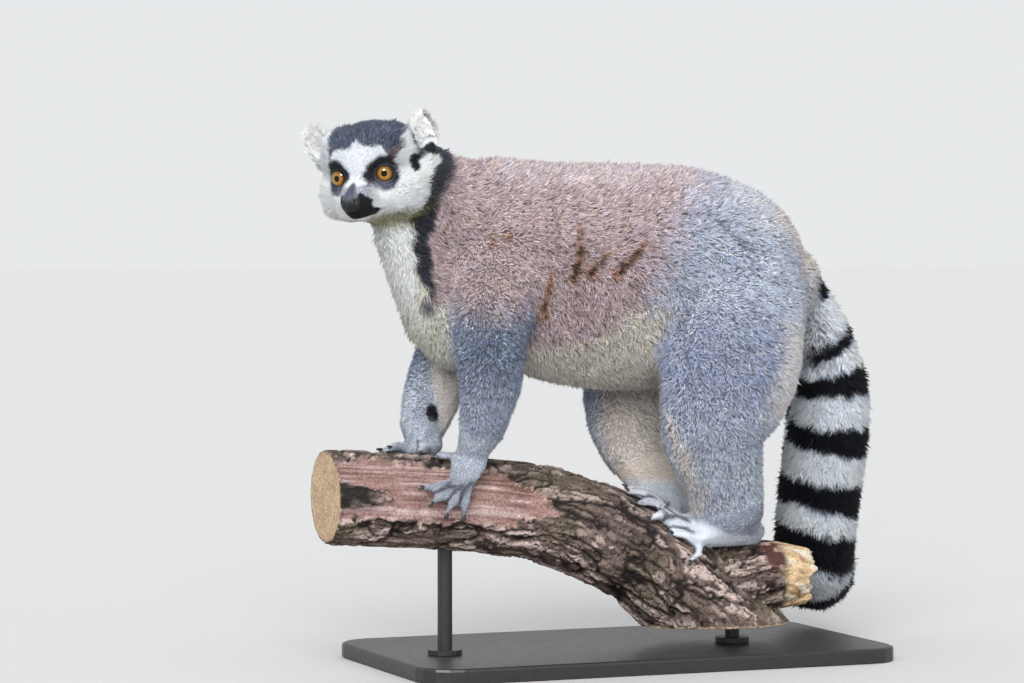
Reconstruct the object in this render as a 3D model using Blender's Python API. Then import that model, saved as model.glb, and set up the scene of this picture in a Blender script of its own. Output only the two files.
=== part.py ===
"""Life-size ring-tailed lemur standing on a cut branch, which a plain display stand holds.

Metres, +Z up.  The animal faces -X and its left side is -Y.  Its outline, to the tips of the
coat, is modelled as elliptical lofts and balls.  They are fused into one smooth form, which
thin cuts then part into head, neck, trunk, tail and limbs.
"""
import math

import bmesh
import bpy
from mathutils import Matrix, Vector

MM = 0.001

# ---- driving dimensions -------------------------------------------------------------------
GAP = 0.35 * MM                   # between touching pieces
FUSE_VOXEL = 2.2 * MM             # grid that fuses the lofts into one body
FUSE_SMOOTHING = 5                # rounds of smoothing that follow
BODY_TRIANGLES = 2380             # the whole body, before it is parted
HEAD_TRIANGLES = 5000             # the same, for the finer body that the head is taken from
LIMB_TRIANGLES = 280              # the form that parts a limb from the trunk
FLAT = math.radians(2)            # faces of a parted piece that bend less than this are merged
LIMB_MARGIN = 4 * MM              # how far a limb's piece reaches beyond its own outline
TAIL_LENGTHS = 6                  # pieces that the tail is parted into
ARM_NAMES = ("upper_arm", "forearm", "hand")
LEG_NAMES = ("thigh", "shank", "foot")

EYE_RADIUS = 8.6 * MM
EYE_PLACE = (21, 17.8, 2)         # centre of the left eye in the head's axes, mm
EYE_SPREAD = math.radians(17)     # how far each eye looks outward
EYE_OPENING = 7.2 * MM            # radius of the part of the eye that shows
DISH_REACH = 13 * MM              # centre of the dish round the eye, ahead of the eye's centre

BASE_SIZE = (420, 230, 12)        # mm
BASE_CENTRE = (10, 25)            # mm, seen from above
BASE_BOTTOM = 4                   # mm, before the whole part is set on the floor
BASE_CORNER = 30                  # mm
ROD_PLACES = ((-150, 6), (104, 0))   # mm
ROD_RADIUS = 6                    # mm
ROD_REACH = 140                   # mm, before the branch cuts it back
ROD_FOOT = (14, 4)                # radius and height of the collar at its foot, mm

# Head axes: it looks to the animal's left front, a little down, and is tilted to one side.
HEAD_CENTRE = Vector((-222, -22, 403)) * MM
HEAD_YAW = math.radians(51)       # from straight ahead (-X) towards the left (-Y)
HEAD_PITCH = math.radians(6)      # nose down
HEAD_ROLL = math.radians(6)       # left ear up

# The branch: centre and radius at a few places along X, in millimetres.
BRANCH = (
    (-290, 6, 149, 37),
    (-240, 6, 146, 38),
    (-122, 5, 137, 38),
    (-52, 3, 124, 40),
    (13, 1, 95, 41),
    (50, 0, 66, 43),
    (93, 0, 26, 47),
    (116, 0, 0, 50),
    (150, 0, -38, 52),
)
BRANCH_START = -252 * MM          # sawn end by the head
BRANCH_FOOT = 32 * MM             # height of the level saw cut at the low end
SAW_BLOCK = 0.6                   # size of the blocks that cut both ends
STUB = (
    # the broken side shoot: x, y, z and two radii
    (60, 0, 50, 20, 20),
    (94, -4, 66, 31, 31),
    (126, -5, 71, 30, 30),
    (150, -5, 70, 27, 27),
    (168, -6, 69, 21, 23),
)
UP = Vector((0, 0, 1))
AHEAD = Vector((-1, 0, 0))


# ---- small tools --------------------------------------------------------------------------
def clear_scene():
    for old in list(bpy.data.objects):
        bpy.data.objects.remove(old, do_unlink=True)


def material(name, colour, roughness, metallic=0.0):
    made = bpy.data.materials.new(name)
    made.use_nodes = True
    shader = made.node_tree.nodes["Principled BSDF"]
    shader.inputs["Base Color"].default_value = (*colour, 1)
    shader.inputs["Roughness"].default_value = roughness
    shader.inputs["Metallic"].default_value = metallic
    return made


def object_of(name, bm, coat=None):
    """Turns a bmesh into a linked object, its faces pointing out."""
    bmesh.ops.recalc_face_normals(bm, faces=bm.faces)
    mesh = bpy.data.meshes.new(name)
    bm.to_mesh(mesh)
    bm.free()
    made = bpy.data.objects.new(name, mesh)
    bpy.context.scene.collection.objects.link(made)
    if coat:
        mesh.materials.append(coat)
    return made


def smooth_between(stations, steps):
    """Catmull-Rom through rows of numbers, steps rows for each stretch."""
    rows = [Vector(row) for row in stations]
    rows = [2 * rows[0] - rows[1], *rows, 2 * rows[-1] - rows[-2]]
    out = []
    for a, b, c, d in zip(rows, rows[1:], rows[2:], rows[3:]):
        for k in range(steps):
            t = k / steps
            out.append(
                0.5 * ((2 * b) + (c - a) * t + (2 * a - 5 * b + 4 * c - d) * t * t
                       + (3 * b - a - 3 * c + d) * t ** 3)
            )
    out.append(rows[-2])
    return out


def smooth_row(rows, steps):
    """Like smooth_between, for rows of five numbers in mm: x, y, z and two radii."""
    places = smooth_between([row[:3] for row in rows], steps)
    sizes = smooth_between([(row[3], row[4], 0) for row in rows], steps)
    return [(p * MM, max(s.x, 0.3) * MM, max(s.y, 0.3) * MM) for p, s in zip(places, sizes)]


def frame_along(tangent, up):
    """Side and upright vectors square to a path."""
    tangent = tangent.normalized()
    side = tangent.cross(up)
    if side.length < 1e-6:
        side = tangent.cross(Vector((1, 0, 0)))
    side.normalize()
    return side, side.cross(tangent).normalized()


def add_loft(bm, rows, steps=4, sides=20, up=UP, round_ends=True):
    """Elliptical rings along a path.  A row is x, y, z, half breadth and half depth, in mm."""
    path = smooth_row(rows, steps)
    rings = []
    count = len(path)
    for i, (place, breadth, depth) in enumerate(path):
        tangent = path[min(i + 1, count - 1)][0] - path[max(i - 1, 0)][0]
        rings.append((place, tangent.normalized(), breadth, depth))
    if round_ends:
        def dome(ring, sense):
            place, tangent, breadth, depth = ring
            reach = min(breadth, depth)
            return [
                (place + sense * tangent * reach * math.sin(a), tangent,
                 breadth * math.cos(a), depth * math.cos(a))
                for a in (math.radians(d) for d in (35, 62, 82))
            ]
        rings = dome(rings[0], -1)[::-1] + rings + dome(rings[-1], 1)
    loops = []
    for place, tangent, breadth, depth in rings:
        side, up = frame_along(tangent, up)
        turn = Matrix((side * breadth, up * depth, tangent)).transposed().to_4x4()
        ring = bmesh.ops.create_circle(
            bm, cap_ends=False, segments=sides, radius=1.0,
            matrix=Matrix.Translation(place) @ turn,
        )["verts"]
        loops.append(ring)
    for low, high in zip(loops, loops[1:]):
        for k in range(sides):
            after = (k + 1) % sides
            bm.faces.new((low[k], low[after], high[after], high[k]))
    bm.faces.new(loops[0][::-1])
    bm.faces.new(loops[-1])


def loft(name, *row_sets, **options):
    """One object holding one closed loft for each set of rows."""
    bm = bmesh.new()
    for rows in row_sets:
        add_loft(bm, rows, **options)
    return object_of(name, bm)


def applied(obj):
    """Replaces an object's mesh by what its modifiers make of it."""
    graph = bpy.context.evaluated_depsgraph_get()
    mesh = bpy.data.meshes.new_from_object(obj.evaluated_get(graph))
    obj.modifiers.clear()
    obj.data = mesh
    return obj


def fused(name, parts, voxel, smoothing, triangles):
    """Joins closed forms into one skin on a voxel grid, smooths it and thins its mesh."""
    bm = bmesh.new()
    for part in parts:
        bm.from_mesh(part.data)
    obj = object_of(name, bm)
    grid = obj.modifiers.new("fuse", "REMESH")
    grid.mode = "VOXEL"
    grid.voxel_size = voxel
    soften = obj.modifiers.new("soften", "SMOOTH")
    soften.factor = 0.5
    soften.iterations = smoothing
    applied(obj)
    faces = sum(len(p.vertices) - 2 for p in obj.data.polygons)
    fewer = obj.modifiers.new("thin", "DECIMATE")
    fewer.ratio = min(1.0, triangles / faces)
    fewer.use_collapse_triangulate = True
    return applied(obj)


def grown(obj, by, name="grown"):
    """A copy whose surface stands out by a distance."""
    copy = bpy.data.objects.new(name, obj.data.copy())
    bpy.context.scene.collection.objects.link(copy)
    swell = copy.modifiers.new("swell", "DISPLACE")
    swell.strength = by
    swell.mid_level = 0
    return applied(copy)


def boolean(obj, other, operation="DIFFERENCE", discard=True):
    step = obj.modifiers.new(operation.lower(), "BOOLEAN")
    step.operation = operation
    step.object = other
    step.solver = "EXACT"
    applied(obj)
    if discard:
        bpy.data.objects.remove(other, do_unlink=True)
    return obj


def loose_parts(obj, smallest=200):
    """Parts an object into its separate bodies, leaving out crumbs (under smallest mm3)."""
    bm = bmesh.new()
    bm.from_mesh(obj.data)
    bm.faces.ensure_lookup_table()
    left, parts = set(bm.faces), []
    while left:
        seed = left.pop()
        body, todo = {seed}, [seed]
        while todo:
            for edge in todo.pop().edges:
                for face in edge.link_faces:
                    if face in left:
                        left.remove(face)
                        body.add(face)
                        todo.append(face)
        piece = bmesh.new()
        copies = {}
        for face in body:
            for vert in face.verts:
                if vert not in copies:
                    copies[vert] = piece.verts.new(vert.co)
        for face in body:
            piece.faces.new([copies[v] for v in face.verts])
        bmesh.ops.dissolve_limit(piece, angle_limit=FLAT, verts=piece.verts, edges=piece.edges)
        bmesh.ops.triangulate(piece, faces=piece.faces)
        if abs(piece.calc_volume()) > smallest * MM ** 3:
            parts.append(piece)
        else:
            piece.free()
    bm.free()
    bpy.data.objects.remove(obj, do_unlink=True)
    return parts


def centre_of(bm):
    total = Vector()
    for vert in bm.verts:
        total += vert.co
    return total / len(bm.verts)


def plate(bm, centre, normal, half):
    """A thin square cutting plate."""
    steep = abs(normal.normalized().z) > 0.9
    side, upright = frame_along(normal, AHEAD if steep else UP)
    turn = Matrix((side, upright, normal.normalized())).transposed().to_4x4()
    size = Matrix.Diagonal((2 * half, 2 * half, GAP, 1))
    bmesh.ops.create_cube(bm, size=1.0, matrix=Matrix.Translation(centre) @ turn @ size)


# ---- the branch ---------------------------------------------------------------------------
def branch_at(x):
    """Centre, radius and tangent of the branch at a place along X (in metres)."""
    rows = smooth_between([Vector(row) for row in BRANCH], 12)
    rows = [(Vector(row[:3]) * MM, row[3] * MM) for row in rows]
    for (a, ra), (b, rb) in zip(rows, rows[1:]):
        if a.x <= x <= b.x:
            t = (x - a.x) / (b.x - a.x)
            return a.lerp(b, t), ra + (rb - ra) * t, (b - a).normalized()
    raise ValueError(f"the branch has no place at x = {x}")


def on_branch(x, turn, lift):
    """A place on the branch: x in mm, turn in degrees from its top to the near side, lift mm."""
    centre, radius, tangent = branch_at(x * MM)
    near = tangent.cross(UP).normalized()
    top = near.cross(tangent).normalized()
    angle = math.radians(turn)
    return centre + (radius + lift * MM) * (math.cos(angle) * top + math.sin(angle) * near)


def make_perch(bark):
    bm = bmesh.new()
    add_loft(bm, [(x, y, z, r, r) for x, y, z, r in BRANCH], steps=2, sides=16, round_ends=False)
    perch = object_of("perch", bm, bark)
    boolean(perch, loft("stub", STUB, steps=2, sides=14, round_ends=False), "UNION")
    ends = bmesh.new()
    start = Matrix.Translation((BRANCH_START - SAW_BLOCK / 2, 0, SAW_BLOCK / 4))
    foot = Matrix.Translation((0, 0, BRANCH_FOOT - SAW_BLOCK / 2))
    for place in (start, foot):
        bmesh.ops.create_cube(ends, size=SAW_BLOCK, matrix=place)
    boolean(perch, object_of("ends", ends))
    return perch


# ---- the animal's own forms ---------------------------------------------------------------
def head_matrix():
    forward = Vector((-math.cos(HEAD_YAW), -math.sin(HEAD_YAW), 0))
    left = UP.cross(forward)
    turn = Matrix((forward, left, UP)).transposed()
    tilt = Matrix.Rotation(HEAD_PITCH, 3, "Y") @ Matrix.Rotation(HEAD_ROLL, 3, "X")
    return Matrix.Translation(HEAD_CENTRE) @ (turn @ tilt).to_4x4()


def add_ball(bm, place, sizes, at=Matrix.Identity(4)):
    """An ellipsoid: place and half sizes in mm, in the frame of at."""
    size = Matrix.Diagonal((*(s * MM for s in sizes), 1))
    bmesh.ops.create_icosphere(
        bm, subdivisions=4, radius=1.0,
        matrix=at @ Matrix.Translation(Vector(place) * MM) @ size,
    )


MUZZLE = (
    # forward, left, up, half breadth and half depth
    (6, 0, -4, 25, 22),
    (23, 0, -6.5, 17, 17),
    (35, 0, -11, 14.5, 15),
    (46, 0, -14.5, 12.2, 12.5),
    (54, 0, -16, 10.4, 10.6),
    (58, 0, -16, 8.8, 9),
)
JAW = (
    (-10, 0, -22, 20, 15),
    (14, 0, -25, 15, 11),
    (34, 0, -26, 11.5, 7.5),
    (50, 0, -25, 8, 5.5),
)


def head_forms():
    """Skull, cheeks, brow, muzzle and jaw, in the head's axes: forward, left, up."""
    at = head_matrix()
    bm = bmesh.new()
    add_ball(bm, (-7, 0, 9), (43, 36, 34), at)                  # cranium
    add_ball(bm, (9, 0, 15), (22, 30, 25), at)                  # forehead
    for side in (1, -1):
        add_ball(bm, (2, side * 16, 18), (27, 21.5, 22), at)    # temple
        add_ball(bm, (-2, side * 20, -13), (28, 22, 24), at)    # cheek ruff
        add_ball(bm, (14, side * 15, -14), (18, 14, 15), at)    # cheek bone
        add_ball(bm, (17, side * 18, 11), (10.5, 11, 7.5), at)  # brow
    forms = object_of("head_forms", bm)
    lofts = loft("muzzle", MUZZLE, JAW)
    lofts.data.transform(at)
    return [forms, lofts]


EARS = {
    # side, middle of the root, tip, and crescents: share of length, half breadth, depth of the cup
    "left": (1, (-9, 36, 5), (-6, 46, 51),
             ((0, 10, 9), (0.2, 15, 10.5), (0.42, 16.5, 9), (0.65, 12, 6), (0.85, 6.5, 3), (1.0, 1.6, 1))),
    "right": (-1, (-9, -35, 6), (-4, -47, 46),
              ((0, 10, 9), (0.2, 14.5, 10.5), (0.45, 16.5, 9), (0.7, 14.5, 6.5), (0.9, 10, 4), (1.0, 5, 2))),
}


def make_ear(word):
    """A cupped shell that opens forward and outward: crescents stacked from its root to its tip."""
    side, root, tip, crescents = EARS[word]
    at = head_matrix()
    root, tip = Vector(root), Vector(tip)
    axis = (tip - root).normalized()
    mouth = Vector((0.87, side * 0.49, 0))
    mouth = (mouth - axis * mouth.dot(axis)).normalized()
    across_ear = axis.cross(mouth).normalized()
    arc = [math.pi * k / 8 for k in range(9)]
    bm = bmesh.new()
    loops = []
    for along, half, cup in crescents:
        middle = root + (tip - root) * along
        outer = [(half * math.cos(a), -cup * math.sin(a)) for a in arc]
        lining = 2.4 * (1 - 0.6 * along)
        inner = [(0.86 * half * math.cos(a), lining - 0.66 * cup * math.sin(a)) for a in arc[::-1]]
        ring = [at @ ((middle + across_ear * x + mouth * y) * MM) for x, y in outer + inner]
        loops.append([bm.verts.new(place) for place in ring])
    for low, high in zip(loops, loops[1:]):
        for k in range(len(low)):
            after = (k + 1) % len(low)
            bm.faces.new((low[k], low[after], high[after], high[k]))
    bm.faces.new(loops[0][::-1])
    bm.faces.new(loops[-1])
    return object_of(f"ear_{word}_shell", bm)


TRUNK = (
    # x, y, z, half breadth, half depth: chest front to rump
    (-160, 0, 344, 34, 58),
    (-130, 0, 341, 48, 78),
    (-84, 0, 332, 57, 85),
    (-35, 0, 323, 62, 92),
    (20, 0, 321, 66, 93),
    (65, 0, 324, 67, 88),
    (105, 0, 323, 62, 74),
    (133, 0, 317, 50, 57),
    (148, 0, 312, 34, 39),
)
NECK = (
    (-120, 0, 358, 46, 59),
    (-150, -1, 369, 43, 52),
    (-180, -7, 385, 39, 43),
    (-206, -13, 399, 35, 38),
)
CHEST = (
    (-196, -13, 362, 28, 24),
    (-177, -6, 322, 32, 26),
    (-162, -2, 290, 33, 26),
    (-146, 0, 268, 32, 22),
)
TAIL_ROOT = (
    (120, 0, 336, 24, 24),
    (144, 0, 325, 22, 22),
    (160, 0, 308, 19, 19),
)


def tail_rows():
    """The tail hangs behind the branch, then turns away from the near side and up again."""
    away, behind = Vector((0.375, 0.927, 0)), Vector((0.469, 0.883, 0))
    hang = (
        # x in the near plane, distance away from it, z, radius
        (146, 0, 332, 17), (163, 0, 316, 17.5), (178, 3, 296, 19.5), (190, 8, 262, 26), (197, 16, 222, 32),
        (195, 30, 182, 34.5), (190, 46, 140, 35.5), (187, 56, 108, 35),
    )
    rows = []
    for x, out, z, radius in hang:
        place = Vector((x, 0, z)) + away * out
        rows.append((*place, radius, radius))
    start, turn = Vector((185, 0, 108)) + away * 58, 46
    for degrees, radius in ((40, 34.5), (85, 34), (130, 33), (172, 32)):
        angle = math.radians(degrees)
        place = start + behind * turn * (1 - math.cos(angle)) - UP * turn * math.sin(angle)
        rows.append((*place, radius, radius))
    rise = ((91, 142, 31), (93, 172, 29), (98, 202, 26), (106, 228, 21), (117, 248, 14))
    for out, height, radius in rise:
        place = start + behind * out
        rows.append((place.x, place.y, height, radius, radius))
    return rows


LIMBS = {
    # shoulder or hip first: x, y, z, half breadth and half depth
    ("arm", "left"): (
        (-116, -32, 322, 28, 40), (-127, -40, 290, 26, 33), (-131, -45, 262, 24, 29),
        (-130, -43, 236, 22, 26), (-133, -35, 204, 17.5, 20), (-137, -27, 186, 13, 15),
    ),
    ("leg", "left"): (
        (95, -38, 318, 34, 57), (85, -47, 285, 36, 60), (75, -55, 248, 35, 61),
        (66, -56, 214, 31, 53), (64, -50, 188, 28, 44), (76, -41, 156, 25, 35),
        (84, -34, 128, 21, 31), (87, -29, 116, 17, 27),
    ),
    ("arm", "right"): (
        (-128, 34, 322, 27, 38), (-130, 40, 290, 25, 31), (-134, 43, 262, 22.5, 25.5),
        (-147, 40, 228, 20, 25.5), (-160, 28, 203, 17, 21), (-164, 22, 191, 13, 15),
    ),
    ("leg", "right"): (
        (90, 38, 320, 34, 57), (70, 47, 282, 36, 58), (50, 55, 245, 34, 56),
        (38, 55, 214, 30, 47), (36, 49, 186, 26, 38), (45, 38, 162, 21, 30),
        (58, 27, 146, 16, 24),
    ),
}


def digit(points, thick):
    """Rows of a finger: each point is x, turn about the branch and lift; thick in mm."""
    rows = []
    for k, (x, turn, lift) in enumerate(points):
        radius = thick * (1 - 0.16 * k / (len(points) - 1))
        rows.append((*(on_branch(x, turn, lift + radius * 0.72) / MM), radius, radius * 0.95))
    return rows


def finger(root, tip, root_lift, middle_lift, thick):
    """A digit that arches from its root to a tip on the bark."""
    middle = ((root[0] + tip[0]) / 2, (root[1] + tip[1]) / 2)
    return digit([(*root, root_lift), (*middle, middle_lift), (*tip, TIP_LIFT)], thick)


# Hands and feet are set out on the branch by place along X and turn about it, in degrees from
# its top: positive turns go to the near side.
FINGER = 4.9                      # radius at the root of a finger, mm
TOE = 5.0
GREAT_TOE = 5.6
TIP_LIFT = -0.2
PALM_SIZES = ((13, 11), (14.5, 9), (14, 7))   # half breadth and thickness: wrist, palm, knuckles
HANDS = {
    # wrist, palm and knuckles with their lift, then fingertips, then the thumb
    "left": (
        ((-138, 24, 12), (-144, 44, 8), (-151, 60, 5.5)),
        ((-184, 72), (-176, 88), (-163, 99), (-149, 100)),
        ((-146, 34), (-156, 28), (-167, 25)),
    ),
    "right": (
        ((-160, -20, 10), (-166, -22, 7), (-174, -26, 5)),
        ((-198, -4), (-201, -22), (-197, -40), (-187, -56)),
        ((-168, -8), (-172, 6), (-178, 18)),
    ),
}
FEET = {
    # heel and sole as x, y, z and half sizes, then roots and tips of the toes, then the big toe
    "left": (
        ((112, -20, 110, 13, 12), (88, -25, 110, 14, 12), (66, -30, 109, 15.5, 10), (54, -32, 108, 15, 8)),
        ((28, 30), (29, 40), (32, 50), (38, 58)),
        ((12, 32), (14, 45), (20, 56), (37, 70)),
        ((34, 16), (26, -8), (20, -34)),
    ),
    "right": (
        ((86, 18, 122, 12, 11), (64, 18, 131, 13, 11), (44, 17, 138, 14, 9), (34, 16, 141, 13.5, 8)),
        ((8, 10), (8, 20), (10, 30), (14, 40)),
        ((-13, 8), (-14, 22), (-9, 38), (2, 54)),
        ((12, -2), (4, -22), (-2, -44)),
    ),
}


def hand_rows(word):
    """Palm and five fingers of a forehand, laid over the branch."""
    palm, tips, thumb = HANDS[word]
    rows = [[(*(on_branch(*place) / MM), *size) for place, size in zip(palm, PALM_SIZES)]]
    for k, tip in enumerate(tips):
        share = k / (len(tips) - 1)
        root = (palm[-1][0] + 12 * share - 6, palm[-1][1] + 6 - 8 * share)
        rows.append(finger(root, tip, 2, 3, FINGER))
    rows.append(digit([(x, turn, 1.6) for x, turn in thumb], FINGER))
    return rows


def foot_rows(word):
    """Heel, sole, four toes and the opposed big toe of a hind foot on the branch."""
    sole, roots, tips, great = FEET[word]
    rows = [sole]
    for root, tip in zip(roots, tips):
        rows.append(finger(root, tip, 4, 4, TOE))
    rows.append(digit([(x, turn, 2) for x, turn in great], GREAT_TOE))
    return rows


# ---- parting the body ---------------------------------------------------------------------
def tail_cuts(rows):
    """Places and directions of the cuts that part the tail into even lengths, root first."""
    path = [place for place, _, _ in smooth_row(rows, 6)]
    steps = [(b - a).length for a, b in zip(path, path[1:])]
    root = 0.09 * sum(steps)
    cuts = []
    for k in range(TAIL_LENGTHS):
        aim = root + (sum(steps) - root) * k / TAIL_LENGTHS
        gone = 0
        for a, b, step in zip(path, path[1:], steps):
            if gone + step > aim:
                cuts.append((a.lerp(b, (aim - gone) / step), b - a, 46 * MM))
                break
            gone += step
    return cuts


def cutting_plates(cuts):
    bm = bmesh.new()
    for place, normal, half in cuts:
        plate(bm, place, normal, half)
    return object_of("plates", bm)


def across(rows, index, share, half):
    """A cut square to a limb, between two of its rows."""
    a, b = (Vector(row[:3]) * MM for row in rows[index:index + 2])
    return a.lerp(b, share), b - a, half * MM


def name_parts(parts, names):
    """Gives each body the name whose place is nearest to its centre; crumbs are left out."""
    made = {}
    for bm in sorted(parts, key=lambda p: -abs(p.calc_volume())):
        centre = centre_of(bm)
        near = min(names, key=lambda name: (Vector(names[name]) * MM - centre).length)
        if near in made:
            bm.free()
        else:
            made[near] = object_of(near, bm)
    return made


def part_limb(whole, kind, word, rows, lofts):
    """Takes a limb off the body along its own outline and cuts it across at its two joints."""
    region = fused("region", lofts, 4 * MM, 3, LIMB_TRIANGLES)
    limb = grown(whole, 0, "limb")
    boolean(limb, grown(region, LIMB_MARGIN), "INTERSECT")
    boolean(whole, grown(region, LIMB_MARGIN + GAP))
    bpy.data.objects.remove(region, do_unlink=True)
    if kind == "arm":
        names, cuts = ARM_NAMES, [across(rows, 2, 0.55, 60), across(rows, 4, 0.3, 34)]
        places = (rows[0], rows[3], rows[5])
    else:
        names, cuts = LEG_NAMES, [across(rows, 3, 0.55, 70), across(rows, len(rows) - 3, 0.75, 52)]
        places = (rows[1], rows[4], rows[-1])
    boolean(limb, cutting_plates(cuts))
    places = {f"{name}_{word}": Vector(place[:3]) for name, place in zip(names, places)}
    places[f"{names[2]}_{word}"].z -= 20
    return name_parts(loose_parts(limb), places)


def part_torso(whole, fine):
    """Cuts head, neck, trunk and the lengths of the tail apart.  The head comes from the finer body."""
    neck_cut = (Vector((-199, -16, 380)) * MM, Vector((-20, -12, 22)), 66 * MM)
    boolean(fine, cutting_plates([neck_cut]))
    head = name_parts(loose_parts(fine), {"head": HEAD_CENTRE / MM, "rest": (0, 0, 300)})
    bpy.data.objects.remove(head.pop("rest"), do_unlink=True)
    cuts = tail_cuts(tail_rows())
    ends = [cut[0] for cut in cuts] + [Vector(tail_rows()[-1][:3]) * MM]
    names = {"coarse": HEAD_CENTRE / MM, "neck": (-170, -10, 365), "trunk": (10, 0, 322)}
    for k in range(TAIL_LENGTHS):
        names[f"tail_{k + 1}"] = (ends[k] + ends[k + 1]) / 2 / MM
    cuts.append(neck_cut)
    cuts.append((Vector((-150, -3, 352)) * MM, Vector((-28, -6, 14)), 100 * MM))
    boolean(whole, cutting_plates(cuts))
    torso = name_parts(loose_parts(whole), names)
    bpy.data.objects.remove(torso.pop("coarse"), do_unlink=True)
    return torso | head


# ---- eyes, ears and stand -----------------------------------------------------------------
def ball_object(name, place, radius):
    bm = bmesh.new()
    place = Matrix.Translation(place)
    bmesh.ops.create_uvsphere(bm, u_segments=12, v_segments=8, radius=radius, matrix=place)
    return object_of(name, bm)


def make_eyes(head):
    """Eyeballs in sockets that open in a shallow dish, so that the face meets them at the iris."""
    eyes = {}
    dish_radius = math.hypot(EYE_OPENING, DISH_REACH - math.sqrt(EYE_RADIUS ** 2 - EYE_OPENING ** 2))
    for side, word in ((1, "left"), (-1, "right")):
        forward, out, up = EYE_PLACE
        local = Vector((forward, side * out, up)) * MM
        gaze = Vector((math.cos(EYE_SPREAD), side * math.sin(EYE_SPREAD), 0))
        place = head_matrix() @ local
        eyes[f"eye_{word}"] = ball_object(f"eye_{word}", place, EYE_RADIUS)
        boolean(head, ball_object("socket", place, EYE_RADIUS + GAP))
        boolean(head, ball_object("dish", head_matrix() @ (local + gaze * DISH_REACH), dish_radius))
    return eyes


def make_ears(head):
    """Ear shells, cut back to where they leave the head."""
    ears = {}
    for word, (_, root, tip, _) in EARS.items():
        shell = make_ear(word)
        boolean(shell, grown(head, GAP))
        middle = head_matrix() @ ((Vector(root) + Vector(tip)) / 2 * MM) / MM
        ears.update(name_parts(loose_parts(shell, 50), {f"ear_{word}": middle}))
    return ears


def make_base(finish):
    """A flat plate with round corners and an eased top edge."""
    size = Matrix.Diagonal((*(side * MM for side in BASE_SIZE), 1))
    middle = Vector((*BASE_CENTRE, BASE_BOTTOM + BASE_SIZE[2] / 2)) * MM
    bm = bmesh.new()
    bmesh.ops.create_cube(bm, size=1.0, matrix=Matrix.Translation(middle) @ size)
    upright = [e for e in bm.edges if abs(e.verts[0].co.z - e.verts[1].co.z) > MM]
    bmesh.ops.bevel(bm, geom=upright, offset=BASE_CORNER * MM, segments=4, affect="EDGES", profile=0.5)
    top = max(v.co.z for v in bm.verts)
    rim = [e for e in bm.edges if all(abs(v.co.z - top) < 0.1 * MM for v in e.verts)]
    bmesh.ops.bevel(bm, geom=rim, offset=2.5 * MM, segments=2, affect="EDGES", profile=0.5)
    return object_of("stand_base", bm, finish)


def make_rod(number, place, perch, finish):
    """A rod with a collar, from the base up to the underside of the branch."""
    foot = (BASE_BOTTOM + BASE_SIZE[2]) * MM + GAP
    collar_radius, collar_height = (size * MM for size in ROD_FOOT)
    x, y = (size * MM for size in place)
    rod = None
    for radius, height in ((collar_radius, collar_height), (ROD_RADIUS * MM, ROD_REACH * MM)):
        bm = bmesh.new()
        bmesh.ops.create_cone(
            bm, cap_ends=True, segments=16, radius1=radius, radius2=radius, depth=height,
            matrix=Matrix.Translation((x, y, foot + height / 2)),
        )
        turned = object_of(f"stand_rod_{number}", bm)
        rod = boolean(rod, turned, "UNION") if rod else turned
    boolean(rod, grown(perch, GAP))
    low = min(loose_parts(rod, 50), key=lambda part: centre_of(part).z)
    return object_of(f"stand_rod_{number}", low, finish)


def set_on_floor(objects):
    """Moves the whole part so that its origin is under its middle, on the floor."""
    corners = [v.co for obj in objects for v in obj.data.vertices]
    low = Vector([min(c[k] for c in corners) for k in range(3)])
    high = Vector([max(c[k] for c in corners) for k in range(3)])
    for obj in objects:
        obj.data.transform(Matrix.Translation((-(low.x + high.x) / 2, -(low.y + high.y) / 2, -low.z)))


def main():
    clear_scene()
    coats = {
        "head": material("coat_head", (0.62, 0.6, 0.58), 0.9),
        "ear": material("coat_ear", (0.85, 0.84, 0.82), 0.9),
        "neck": material("coat_neck", (0.2, 0.19, 0.19), 0.9),
        "trunk": material("coat_back", (0.42, 0.34, 0.3), 0.9),
        "limb": material("coat_limb", (0.4, 0.41, 0.43), 0.9),
        "tail": material("coat_tail", (0.5, 0.5, 0.5), 0.9),
        "eye": material("eye_amber", (0.6, 0.25, 0.03), 0.1),
    }
    bark = material("bark", (0.23, 0.16, 0.12), 0.9)
    finish = material("stand_black", (0.05, 0.05, 0.055), 0.4, 0.6)

    perch = make_perch(bark)
    forms = head_forms()
    forms.append(loft("torso", TRUNK, NECK, TAIL_ROOT, sides=28))
    forms.append(loft("chest", CHEST, sides=24, up=AHEAD))
    forms.append(loft("tail", tail_rows(), sides=24, up=AHEAD))
    limbs = []
    for word in ("left", "right"):
        arm, leg = LIMBS["arm", word], LIMBS["leg", word]
        hand, foot = hand_rows(word), foot_rows(word)
        limbs.append(("arm", word, arm, [loft("arm", arm, up=AHEAD), loft("hand", *hand, sides=12)]))
        limbs.append(("leg", word, leg, [loft("leg", leg, up=AHEAD), loft("foot", *foot, sides=12)]))
    for limb in limbs:
        forms += limb[3]
    whole = fused("whole", forms, FUSE_VOXEL, FUSE_SMOOTHING, BODY_TRIANGLES)
    fine = fused("fine", forms, FUSE_VOXEL, FUSE_SMOOTHING, HEAD_TRIANGLES)
    boolean(whole, grown(perch, GAP))

    made = {}
    for limb in limbs:
        made.update(part_limb(whole, *limb))
    made.update(part_torso(whole, fine))
    for form in forms:
        bpy.data.objects.remove(form, do_unlink=True)
    made.update(make_ears(made["head"]))
    made.update(make_eyes(made["head"]))
    for name, obj in made.items():
        kind = name.split("_")[0]
        obj.data.materials.clear()
        obj.data.materials.append(coats.get(kind, coats["limb"]))

    stand = [make_base(finish)]
    stand += [make_rod(k + 1, place, perch, finish) for k, place in enumerate(ROD_PLACES)]
    set_on_floor([perch, *made.values(), *stand])


main()
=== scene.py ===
import math
from itertools import product

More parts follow.
